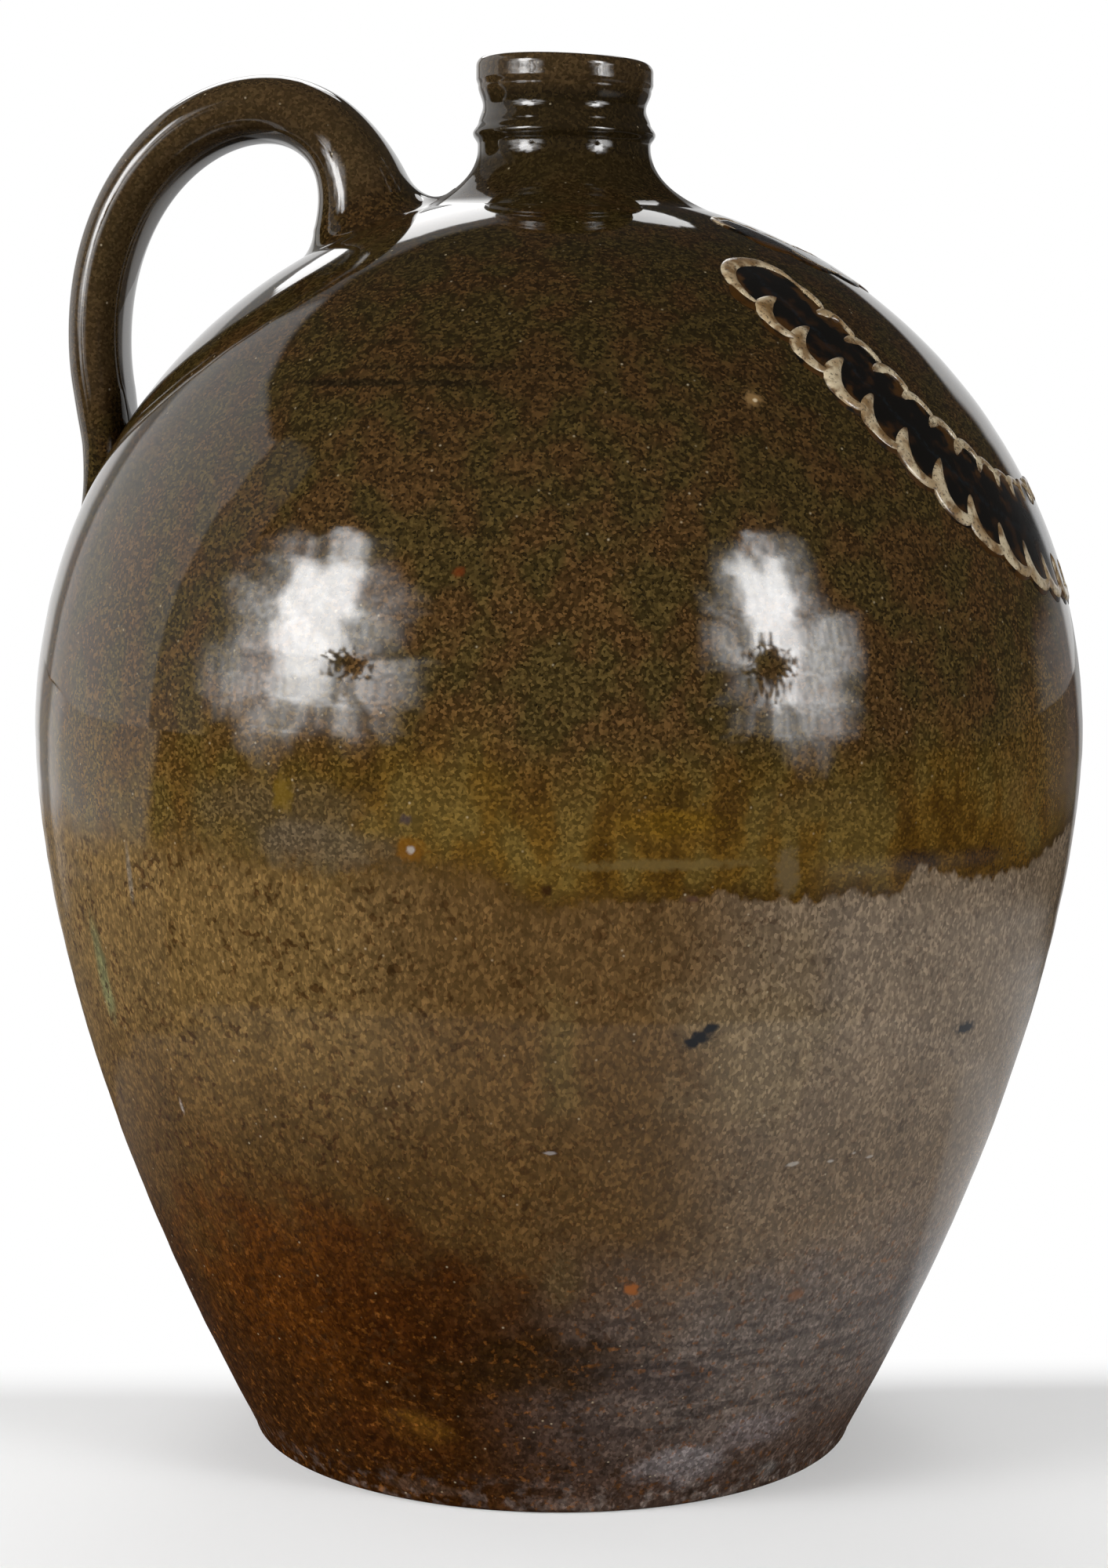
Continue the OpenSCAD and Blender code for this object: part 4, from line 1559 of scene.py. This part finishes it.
class SlipTrailer:
    """Lays flat slip along a path on the shoulder."""

    def __init__(self, form: JugForm) -> None:
        """Write the tree.

        Args:
            form: The jug's outline.
        """
        self.form = form
        self.tree = Tree("slip_on_the_shoulder", {
            "Path": "NodeSocketObject", "Stroke": "NodeSocketObject", "Count": "NodeSocketInt",
            "First": "NodeSocketFloat", "Pitch": "NodeSocketFloat", "Stroke Pitch": "NodeSocketFloat",
            "Edge": "NodeSocketFloat", "Far End": "NodeSocketFloat", "Unevenness": "NodeSocketFloat",
            "Seed": "NodeSocketInt", "Belly Radius": "NodeSocketFloat", "Belly Height": "NodeSocketFloat",
            "Shoulder Height": "NodeSocketFloat", "Material": "NodeSocketMaterial"})
        book, given = self.tree.book, self.tree.given
        flat = self.strokes(book, given)
        self.tree.close(self.lay(book, given, flat))

    @staticmethod
    def strokes(book: NodeBook, given: Outputs) -> Wire:
        """Repeat the stroke along the flat edge, beside whatever the host holds.

        Args:
            book: The tree's book.
            given: The tree's inputs.

        Returns:
            The flat geometry.
        """
        spots = book.node("GeometryNodeMeshLine", {"mode": "OFFSET"}, {
            "Count": given["Count"], "Start Location": book.join(given["First"], 0.0, 0.0),
            "Offset": book.join(given["Pitch"], 0.0, 0.0)})[0]
        stroke = book.node("GeometryNodeObjectInfo", None, {"Object": given["Stroke"]})["Geometry"]
        long = given["Pitch"] / given["Stroke Pitch"]
        uneven = given["Unevenness"]
        sizes = book.node("FunctionNodeRandomValue", {"data_type": "FLOAT_VECTOR"}, {
            "Min": book.join(long, 1.0 - uneven, 1.0 - uneven),
            "Max": book.join(long, 1.0 + uneven, 1.0 + uneven), "Seed": given["Seed"]})[0]
        row = book.node("GeometryNodeInstanceOnPoints", None,
                        {"Points": spots, "Instance": stroke, "Scale": sizes})[0]
        laid = book.node("GeometryNodeRealizeInstances", None, {"Geometry": row})[0]
        both = book.node("GeometryNodeJoinGeometry", None, {"Geometry": laid})
        book.tree.links.new(given["Geometry"].socket, both.node.inputs[0])
        return both[0]

    @staticmethod
    def lay(book: NodeBook, given: Outputs, flat: Wire) -> Wire:
        """Bend flat geometry along the path and down on the shoulder.

        Args:
            book: The tree's book.
            given: The tree's inputs.
            flat: Geometry with X along the path, Y across it and Z up.

        Returns:
            The geometry on the shoulder.
        """
        path = book.node("GeometryNodeObjectInfo", None, {"Object": given["Path"]})["Geometry"]
        length = book.node("GeometryNodeCurveLength", None, {"Curve": path})[0]
        x, y, up = book.split(book.node("GeometryNodeInputPosition")[0])
        along = x + given["Far End"] * (length - 2.0 * x)
        half_width = book.node("GeometryNodeInputRadius")[0]
        sample = book.node("GeometryNodeSampleCurve", {"mode": "LENGTH", "data_type": "FLOAT"},
                           {"Curves": path, "Value": half_width, "Length": along})
        half, middle, run = sample["Value"], sample["Position"], sample["Tangent"]
        wide, tall, rise = given["Belly Radius"], given["Shoulder Height"], given["Belly Height"]
        lower = book.join(0.0, 0.0, rise)
        flat_share = 1.0 / (wide * wide)
        outward = book.vector("MULTIPLY", book.vector("SUBTRACT", middle, lower),
                              book.join(flat_share, flat_share, 1.0 / (tall * tall)))
        across = book.vector("NORMALIZE", book.vector("CROSS_PRODUCT", run, outward))
        edge = given["Edge"]
        aside = edge * (half - y) + (1.0 - abs(edge)) * y
        spot = book.vector("SUBTRACT", book.vector("ADD", middle, book.scaled(across, aside)), lower)
        sizes = book.join(wide + up, wide + up, tall + up)
        reach = book.node("ShaderNodeVectorMath", {"operation": "LENGTH"},
                          {0: book.vector("DIVIDE", spot, sizes)})["Value"]
        place = book.vector("ADD", lower, book.scaled(spot, 1.0 / reach))
        return book.node("GeometryNodeSetPosition", None, {"Geometry": flat, "Position": place})[0]

    def run(self, host: bpy.types.Object, path: bpy.types.Object, stroke: bpy.types.Object, count: int,
            first: float, pitch: float, edge: Edge, far_end: bool, material: bpy.types.Material,
            uneven: float = 0.0, stroke_pitch: float = 0.0) -> bpy.types.Object:
        """Lay one row of strokes, or the flat mesh of the host.

        Args:
            host: Object that takes the slip.
            path: Curve of the swag's middle line.
            stroke: Flat stroke to repeat.
            count: How many strokes, 0 for none.
            first: Length along the path where the first one starts.
            pitch: Length from stroke to stroke.
            edge: Edge that they follow.
            far_end: Whether lengths run from the path's far end.
            material: The slip.
            uneven: How far the strokes differ in size.
            stroke_pitch: Pitch that the stroke is drawn for, where that isn't the row's own.

        Returns:
            The host.
        """
        self.tree.run(host, {
            "Path": path, "Stroke": stroke, "Count": count, "First": first, "Pitch": pitch,
            "Stroke Pitch": stroke_pitch or pitch, "Edge": edge.value, "Far End": float(far_end),
            "Unevenness": uneven, "Seed": count + int(far_end), "Belly Radius": self.form.belly_r,
            "Belly Height": self.form.belly_z, "Shoulder Height": self.form.shoulder_h,
            "Material": material})
        return host


LOWER_HOOK = Stroke("lower_hook", (
    (-1.8, 12.0, 0.6), (-1.6, 9.0, 1.6), (-1.0, 5.8, 2.7), (0.3, 2.6, 3.5), (2.8, 0.3, 3.2),
    (5.8, -1.0, 2.7), (9.0, -1.3, 2.3), (12.0, -0.6, 2.0), (14.2, 0.9, 1.6), (15.4, 2.4, 1.2)), 0.32)
UPPER_HOOK = Stroke("upper_hook", (
    (0.4, 8.0, 0.6), (0.2, 5.4, 2.0), (0.9, 2.6, 3.1), (2.9, 0.6, 2.2), (6.0, -0.5, 1.5),
    (9.6, -0.6, 1.3), (12.8, 0.2, 1.4), (15.4, 1.6, 1.5)), 0.3)
END_LOOP = Stroke("end_loop", (
    (31.0, -11.4, 1.0), (26.0, -13.2, 1.6), (21.0, -13.2, 1.9), (16.0, -12.9, 1.2), (11.0, -12.4, 1.3),
    (6.5, -10.4, 2.3), (3.2, -6.4, 3.0), (2.0, -1.0, 3.2), (2.4, 4.5, 3.0), (4.9, 9.0, 2.7),
    (8.7, 12.0, 2.3), (13.0, 13.4, 1.9), (18.0, 13.8, 1.4), (23.0, 12.4, 1.1)))


@dataclass(frozen=True)
class Swag:
    """Festoon of dark slip edged with strokes of cream slip, symmetric about the front of the jug."""

    form: JugForm
    name: str
    span: float
    low_share: float
    end_share: float
    droop: float
    w_mid: float
    w_end: float
    overrun: float = 0.04
    path_points: int = 240
    pitch: float = 12.8 * MM
    drawn_pitch: float = 15.0 * MM
    first_lower: float = 22.5 * MM
    first_upper: float = 30.5 * MM
    loop_half: float = 13.5 * MM
    uneven: float = 0.24
    fill_t: float = 0.45 * MM
    fill_sink: float = 0.3 * MM
    fill_rows: int = 28
    fill_step: float = 0.9 * MM
    fill_start: float = 1.6 * MM
    fringe: float = 1.8 * MM
    fringe_wave: float = 3.0 * MM
    fill_power: int = 8
    tuck: float = 0.4 * MM
    nose: float = 13.0 * MM
    crease: float = 60.0

    def middle(self, t: float) -> Vector:
        """Point on the middle line, at a place from -1 to 1."""
        rise = self.form.shoulder_h * mix(self.low_share, self.end_share, abs(t) ** self.droop)
        return Vector(self.form.on_wall(self.span * t, self.form.belly_z + rise))

    def half_width(self, t: float) -> float:
        """Half the width at a place on the middle line."""
        return mix(self.w_mid, self.w_end, min(1.0, abs(t))) / 2

    def places(self) -> list[float]:
        """Places along the middle line, with a little over at both ends."""
        end, steps = 1 + self.overrun, self.path_points
        return [mix(-end, end, i / steps) for i in range(steps + 1)]

    def lengths(self) -> list[float]:
        """Measure the path.

        Returns:
            Its length from its start to each place.
        """
        spots = [self.middle(t) for t in self.places()]
        sums = [0.0]
        for a, b in zip(spots, spots[1:]):
            sums.append(sums[-1] + (b - a).length)
        return sums

    def spare(self) -> float:
        """Measure the path before the swag's end.

        Returns:
            The length.
        """
        pairs = list(zip(self.places(), self.lengths()))
        i = next(k for k, (place, _) in enumerate(pairs) if place >= -1)
        (p, a), (q, b) = pairs[i - 1], pairs[i]
        return mix(a, b, (-1 - p) / (q - p))

    def place_at(self, length: float) -> float:
        """Find a place on the path.

        Args:
            length: Length along it.

        Returns:
            The place.
        """
        lengths, places = self.lengths(), self.places()
        i = min(range(1, len(lengths)), key=lambda k: lengths[k] < length)
        return mix(places[i - 1], places[i], (length - lengths[i - 1]) / (lengths[i] - lengths[i - 1]))

    def path(self) -> bpy.types.Object:
        """Draw the middle line.

        Returns:
            A helper curve with half the width as its radius.
        """
        data = bpy.data.curves.new(self.name + "_path", "CURVE")
        data.dimensions = "3D"
        spline = data.splines.new("POLY")
        spline.points.add(self.path_points)
        for point, t in zip(spline.points, self.places()):
            point.co = (*self.middle(t), 1.0)
            point.radius = self.half_width(t)
        thing = bpy.data.objects.new(self.name + "_path", data)
        bpy.context.scene.collection.objects.link(thing)
        return thing

    def flat_fill(self, start: float, total: float) -> bpy.types.Object:
        """Flat sheet of dark slip, with a thin fringe below the lower line.

        Args:
            start: Length along the path where it begins.
            total: Length of the path.

        Returns:
            A flat helper object that carries its own share across.
        """
        steps = round((total - 2 * start) / self.fill_step)
        columns = self.fill_rows + 1
        points: list[Triple] = []
        shares: list[float] = []
        for layer in (1, 0):
            for i in range(steps + 1):
                u = mix(start, total - start, i / steps)
                end = min(u - start, total - start - u)
                close = math.sqrt(max(0.0, 1 - max(0.0, 1 - end / self.nose) ** 2))
                half = self.half_width(self.place_at(u))
                wave = abs(math.sin(math.pi * (end + self.fill_start - self.first_lower) / self.pitch))
                low = (half + self.fringe + self.fringe_wave * wave) * close
                high = (half - self.tuck) * close
                for j in range(columns):
                    share = 2 * j / self.fill_rows - 1
                    dome = self.fill_t * math.sqrt(max(0.0, 1 - abs(share) ** self.fill_power))
                    up = dome * min(1.0, end / self.fringe) if layer else -self.fill_sink
                    points.append((u, mix(-high, low, (share + 1) / 2), up))
                    shares.append(share)
        n = (steps + 1) * columns
        faces = []
        for i in range(steps):
            for j in range(self.fill_rows):
                a, b = i * columns + j, (i + 1) * columns + j
                faces.append((a, b, b + 1, a + 1))
                faces.append((n + a + 1, n + b + 1, n + b, n + a))
        rim = ([i * columns for i in range(steps + 1)] + [steps * columns + j for j in range(1, columns)]
               + [i * columns + self.fill_rows for i in range(steps - 1, -1, -1)]
               + [j for j in range(self.fill_rows - 1, 0, -1)])
        faces += [(b, a, n + a, n + b) for a, b in zip(rim, rim[1:] + rim[:1])]
        sheet = add_object(self.name + "_dark_slip", points, (), faces)
        sheet.data.attributes.new("across", "FLOAT", "POINT").data.foreach_set("value", shares)
        return sheet

    def build(self, trailer: SlipTrailer, iron: bpy.types.Material,
              cream: bpy.types.Material) -> tuple[bpy.types.Object, bpy.types.Object]:
        """Lay the dark fill and the cream line.

        Args:
            trailer: Lays slip on the shoulder.
            iron: The dark slip.
            cream: The cream slip.

        Returns:
            The fill and the line.
        """
        path = self.path()
        total = self.lengths()[-1]
        spare = self.spare()
        size = self.w_end / 2 / self.loop_half
        lower, upper, end = (s.fitted(f"{self.name}_{s.name}", long, size).build() for s, long in
                             ((LOWER_HOOK, 1.0), (UPPER_HOOK, 1.0), (END_LOOP, size)))
        fill = trailer.run(self.flat_fill(spare + self.fill_start, total), path, end, 0, 0.0, self.pitch,
                           Edge.NEITHER, False, iron)
        face_outwards(fill, self.crease)
        rows = []
        for far_end in (False, True):
            for stroke, edge, gap in ((lower, Edge.LOWER, self.first_lower),
                                      (upper, Edge.UPPER, self.first_upper)):
                first = spare + gap * size
                count = round((total / 2 - first) / self.pitch)
                host = add_object(f"{self.name}_row_{len(rows)}", [])
                rows.append(trailer.run(host, path, stroke, count, first, (total / 2 - first) / count, edge,
                                        far_end, cream, self.uneven, self.drawn_pitch))
            host = add_object(f"{self.name}_row_{len(rows)}", [])
            rows.append(trailer.run(host, path, end, 1, spare, self.pitch, Edge.NEITHER, far_end, cream))
        line = self.gather(rows, cream)
        discard([path, lower, upper, end])
        return fill, line

    def gather(self, rows: Sequence[bpy.types.Object], material: bpy.types.Material) -> bpy.types.Object:
        """Join rows of slip into one piece.

        Args:
            rows: Objects that are used up.
            material: The slip.

        Returns:
            The piece.
        """
        work = bmesh.new()
        for row in rows:
            work.from_mesh(row.data)
        line = add_object(self.name + "_cream_slip", [])
        work.to_mesh(line.data)
        work.free()
        line.data.materials.append(material)
        face_outwards(line, self.crease)
        discard(rows)
        return line


@dataclass(frozen=True)
class Lamp:
    """Folded soft lamp: where it stands, its width, height and power, its bright core and its dark hub.

    Places on the lamp go from -1 to 1 across it and up it.
    """

    name: str
    azimuth: float
    elevation: float
    wide: float
    tall: float
    power: float
    core_x: float = 0.0
    core_y: float = 0.22
    core_wide: float = 0.32
    core_tall: float = 0.75
    hub_x: float = 0.3
    hub_y: float = -0.05
    hub: float = 0.16
    veil: float = 0.24
    notch: float = 0.22
    crease: float = 0.6
    ragged: float = 0.34
    gain: float = 6.0
    wave: float = 4.0
    fine_wave: float = 20.0
    wave_detail: float = 4.0
    petal_detail: float = 3.0
    petal_cut: Span = (0.36, 0.62)
    fine_cut: Span = (0.3, 0.7)
    core_cut: Span = (0.45, 1.0)
    core_break: float = 3.0
    eye_break: float = 0.5
    eye_fringe: float = 0.4
    eye_soft: float = 0.7
    fade: float = 0.3
    grit: float = 0.6
    mirrored: bool = True
    folds: float = 1.7
    squash: float = 1.3
    distance: float = 1.7
    height: float = 0.24

    def build(self) -> None:
        """Add the lamp, facing the jug."""
        data = bpy.data.lights.new(self.name, "AREA")
        data.shape, data.size, data.size_y, data.energy = "ELLIPSE", self.wide, self.tall, self.power
        data.use_nodes = True
        book = NodeBook(data.node_tree)
        light = book.node("ShaderNodeEmission", None, {"Strength": self.glow(book)})[0]
        book.node("ShaderNodeOutputLight", None, {"Surface": light})
        lamp = bpy.data.objects.new(self.name, data)
        lamp.visible_camera = False
        lamp.visible_glossy = self.mirrored
        bpy.context.scene.collection.objects.link(lamp)
        a, e = math.radians(self.azimuth), math.radians(self.elevation)
        way = Vector((math.cos(e) * math.cos(a), math.cos(e) * math.sin(a), math.sin(e)))
        lamp.matrix_world = (Matrix.Translation(way * self.distance + Vector((0, 0, self.height)))
                             @ way.to_track_quat("Z", "Y").to_matrix().to_4x4())

    def glow(self, book: NodeBook) -> Wire:
        """Write its brightness from place to place.

        Args:
            book: The lamp's book.

        Returns:
            The brightness: a folded veil with ragged petals, a bright core and a dark hub.
        """
        u, v, _ = book.split(book.node("ShaderNodeNewGeometry")["Parametric"])
        x, y = 2.0 * u - 1.0, 2.0 * v - 1.0
        place = book.join(x, y, 0.0)
        waves = self.noise(book, "2D", place, self.wave, self.wave_detail) - 0.5
        fine = self.noise(book, "2D", place, self.fine_wave, self.wave_detail).rise(*self.fine_cut)
        hub = self.away(book, x, y, self.hub_x, self.hub_y)
        spoke = book.join((x - self.hub_x) / hub, (y - self.hub_y) / hub, hub * 0.5)
        petals = self.noise(book, "3D", spoke, self.folds, self.petal_detail).rise(*self.petal_cut)
        out = self.away(book, x, y, 0.0, 0.0) / (1.0 - self.notch + self.notch * petals)
        veil = (out + self.ragged * waves).fall(self.fade, 1.0) * (1.0 - self.grit / 2 + self.grit * fine)
        veil = veil * (1.0 - self.crease + self.crease * petals)
        middle = self.away(book, x / self.core_wide, y / self.core_tall,
                           self.core_x / self.core_wide, self.core_y / self.core_tall)
        core = (middle + self.core_break * self.ragged * waves).fall(*self.core_cut)
        eye = self.away(book, x, self.squash * y, self.hub_x, self.squash * self.hub_y)
        eye = eye + self.ragged * (self.eye_break * waves + self.eye_fringe * (fine - 0.5))
        hole = eye.rise(self.eye_soft * self.hub, self.hub)
        return self.gain * (self.veil * veil + (1.0 - self.veil) * core) * hole

    @staticmethod
    def noise(book: NodeBook, kind: str, place: Wire, scale: float, detail: float) -> Wire:
        """Noise at a place on the lamp."""
        return book.node("ShaderNodeTexNoise", {"noise_dimensions": kind},
                         {"Vector": place, "Scale": scale, "Detail": detail})[0]

    @staticmethod
    def away(book: NodeBook, x: Wire, y: Wire, at_x: float, at_y: float) -> Wire:
        """Distance from a place on the lamp."""
        return book.math("SQRT", (x - at_x) * (x - at_x) + (y - at_y) * (y - at_y))


@dataclass(frozen=True)
class Panel:
    """Pale screen in the surroundings: its directions in degrees, its brightness and how that slants."""

    azimuth: float
    half: float
    soft: float
    low: float
    high: float
    level: float
    slant: float = 0.0
    edge: float = 2.5
    under_edges: float = 3.0

    def glow(self, book: NodeBook, way: tuple[Wire, Wire, Wire]) -> Wire:
        """Write its brightness.

        Args:
            book: The world's book.
            way: The direction that is looked at.

        Returns:
            The brightness in that direction.
        """
        x, y, z = way
        angle = math.radians(self.azimuth)
        flat = book.math("SQRT", x * x + y * y)
        cosine = (x * math.cos(angle) + y * math.sin(angle)) / flat
        sine = (y * math.cos(angle) - x * math.sin(angle)) / flat
        inner, outer = (math.cos(math.radians(v)) for v in (self.half - self.soft, self.half))
        under, low, high, top = (math.sin(math.radians(v)) for v in (
            self.low - self.under_edges * self.edge, self.low, self.high, self.high + self.edge))
        window = cosine.rise(outer, inner) * z.fall(high, top) * z.rise(under, low)
        return self.level * (1.0 + self.slant * sine) * window


@dataclass(frozen=True)
class Sheet:
    """Pale sheet on the table, as the glaze mirrors it: its direction and angles, brightness and reach."""

    azimuth: float
    inner: float
    outer: float
    level: float
    near: Span = (0.28, 0.42)
    far: Span = (7.0, 8.0)

    def share(self, ground: Ground) -> Wire:
        """Its brightness from place to place on the table."""
        window = ground.radius.rise(*self.near) * ground.radius.fall(*self.far)
        return self.level * window * ground.sector(self.azimuth, self.inner, self.outer)


@dataclass(frozen=True)
class Studio:
    """Pale screens, pale table and soft lamps, with the camera where the photograph was taken from."""

    camera_place: Triple = (102.6 * MM, -988.7 * MM, 323.2 * MM)
    camera_turn: float = 6.0
    camera_pitch: float = 6.78
    camera_roll: float = 0.54
    lens: float = 72.74
    sensor: float = 36.0
    clip: float = 100.0
    table_half: float = 6.0
    table_tone: str = "f4f4f4"
    table_turn: float = 9.4
    table_far: Span = (-5.0 * MM, 58.0 * MM)
    table_lift: Span = (0.27, 0.33)
    table_clear: Span = (102.0 * MM, 140.0 * MM)
    table_reach: Span = (280.0 * MM, 420.0 * MM)
    table_fade: Span = (0.8, 1.0)
    sheets: tuple[Sheet, ...] = (
        Sheet(150.0, 38.0, 42.0, 0.35, (0.28, 0.42), (0.7, 1.0)), Sheet(160.0, 22.0, 27.0, 0.65, (0.7, 1.0)),
        Sheet(126.0, 12.0, 20.0, 0.4, (0.7, 1.0)),
        Sheet(25.0, 50.0, 65.0, 0.62, (0.28, 0.42), (0.5, 0.95)), Sheet(96.0, 24.0, 30.0, 0.5, (0.7, 1.0)),
        Sheet(54.0, 9.0, 18.0, 0.18, (0.9, 1.6)))
    dim: float = 0.03
    panels: tuple[Panel, ...] = (
        Panel(155.0, 25.5, 2.5, -60.0, 41.0, 0.76, 1.29), Panel(118.0, 24.0, 20.0, -60.0, 41.0, 0.2),
        Panel(96.0, 30.0, 6.0, -60.0, 16.0, 0.6), Panel(56.0, 18.0, 10.0, -60.0, 2.0, 0.18, 0.0, 6.0),
        Panel(188.0, 9.0, 2.0, -60.0, 44.0, 0.2))
    lamps: tuple[Lamp, ...] = (
        Lamp("left_lamp", -138.0, 15.5, 1.9, 1.45, 25.0, core_wide=0.36, hub=0.16, veil=0.36),
        Lamp("right_lamp", -36.0, 17.0, 1.3, 1.5, 17.5, core_x=-0.1, core_y=0.25, core_wide=0.34,
             core_tall=0.7, hub_x=-0.2, hub_y=-0.1, hub=0.26, veil=0.36),
        Lamp("back_lamp", 107.0, 33.0, 0.92, 0.6, 0.72, hub=0.01, veil=1.0, notch=0.1, crease=0.0,
             ragged=0.2, fade=0.92, grit=0.0),
        Lamp("fill_lamp", 92.0, 25.0, 2.0, 1.4, 2.6, hub=0.01, veil=1.0, notch=0.0, crease=0.0, grit=0.0,
             mirrored=False),
        Lamp("far_lamp", 89.0, 39.0, 0.34, 0.32, 0.11, hub=0.01, veil=1.0, notch=0.1, crease=0.0,
             ragged=0.2, fade=0.92, grit=0.0))

    def build(self) -> None:
        """Set the camera, the light and the table."""
        self.camera()
        self.world()
        self.table()
        for lamp in self.lamps:
            lamp.build()
        bpy.context.scene.view_settings.view_transform = "Standard"

    def camera(self) -> None:
        """Place the camera."""
        data = bpy.data.cameras.new("camera")
        data.lens, data.sensor_width, data.sensor_fit = self.lens, self.sensor, "AUTO"
        data.clip_end = self.clip
        camera = bpy.data.objects.new("camera", data)
        bpy.context.scene.collection.objects.link(camera)
        camera.matrix_world = (Matrix.Translation(self.camera_place)
                               @ Matrix.Rotation(math.radians(self.camera_turn), 4, "Z")
                               @ Matrix.Rotation(math.radians(90 - self.camera_pitch), 4, "X")
                               @ Matrix.Rotation(math.radians(self.camera_roll), 4, "Z"))
        bpy.context.scene.camera = camera

    def world(self) -> None:
        """Write the screens, dim elsewhere, and white to the camera."""
        world = bpy.data.worlds.new("studio")
        world.use_nodes = True
        bpy.context.scene.world = world
        book = NodeBook(world.node_tree)
        way = book.split(book.node("ShaderNodeTexCoord")["Generated"])
        level: Number = self.dim
        for panel in self.panels:
            level = level + panel.glow(book, way)
        path = book.node("ShaderNodeLightPath")
        shown = path["Is Camera Ray"] + path["Is Transmission Ray"] + path["Is Glossy Ray"] * level
        strength = level + (1.0 - level) * shown.rise(0.0, 1.0)
        light = book.node("ShaderNodeBackground", None, {"Color": (1, 1, 1, 1), "Strength": strength})[0]
        book.node("ShaderNodeOutputWorld", None, {"Surface": light})

    def table(self) -> None:
        """Add the pale table, which runs out to white behind the jug."""
        material = bpy.data.materials.new("table")
        material.use_nodes = True
        book = NodeBook(material.node_tree)
        ground = Ground(book)
        turn = math.radians(self.table_turn)
        depth = ground.y * math.cos(turn) - ground.x * math.sin(turn)
        edge = ground.radius.rise(*self.table_reach)
        close, clear = self.table_lift
        lift = close + (clear - close) * ground.radius.rise(*self.table_clear)
        far = book.math("MAXIMUM", book.math("MAXIMUM", depth.rise(*self.table_far), lift), edge)
        mirrored = (1.0 - edge) * far
        for sheet in self.sheets:
            mirrored = mirrored + sheet.share(ground)
        path = book.node("ShaderNodeLightPath")
        shown = path["Is Camera Ray"] + path["Is Transmission Ray"] + path["Is Glossy Ray"] * mirrored
        dark = (self.dim, self.dim, self.dim, 1.0)
        colour = book.blend(edge.rise(*self.table_fade), tone(self.table_tone), dark)
        plain = book.node("ShaderNodeBsdfDiffuse", None, {"Color": colour})[0]
        white = book.node("ShaderNodeEmission", None, {"Color": (1, 1, 1, 1), "Strength": 1.0})[0]
        both = book.node("ShaderNodeMixShader", None, {0: far * shown.rise(0.0, 1.0), 1: plain, 2: white})[0]
        book.node("ShaderNodeOutputMaterial", None, {"Surface": both})
        s = self.table_half
        table = add_object("table", [(-s, -s, 0), (s, -s, 0), (s, s, 0), (-s, s, 0)], (), [(0, 1, 2, 3)])
        table.data.materials.append(material)


def main() -> None:
    """Build the jug on its frame."""
    logging.basicConfig(level=logging.INFO)
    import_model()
    form = JugForm()
    glaze = StonewareGlaze(form).material()
    iron, cream = IronSlip().material(), CreamSlip().material()
    wheel = Wheel()
    lower = LowerBody(form).build(wheel, glaze)
    upper = UpperBody(form).build(wheel, glaze)
    match_seam((lower, upper), form)
    neck = Neck(form).build(wheel, glaze)
    handle = StrapHandle(form).build(glaze)
    present(lower, "lower_body")
    present(upper, "upper_body")
    present(neck, "neck")
    present(handle, "handle")
    trailer = SlipTrailer(form)
    swags = (Swag(form, "lower_swag", span=47.0, low_share=0.381, end_share=0.857, droop=3.3,
                  w_mid=36.0 * MM, w_end=25.0 * MM),
             Swag(form, "upper_swag", span=30.0, low_share=0.857, end_share=0.940, droop=2.5,
                  w_mid=16.0 * MM, w_end=13.5 * MM))
    for swag in swags:
        fill, line = swag.build(trailer, iron, cream)
        present(fill, swag.name + "_fill")
        present(line, swag.name + "_line")
    Studio().build()


if __name__ == "__main__":
    main()
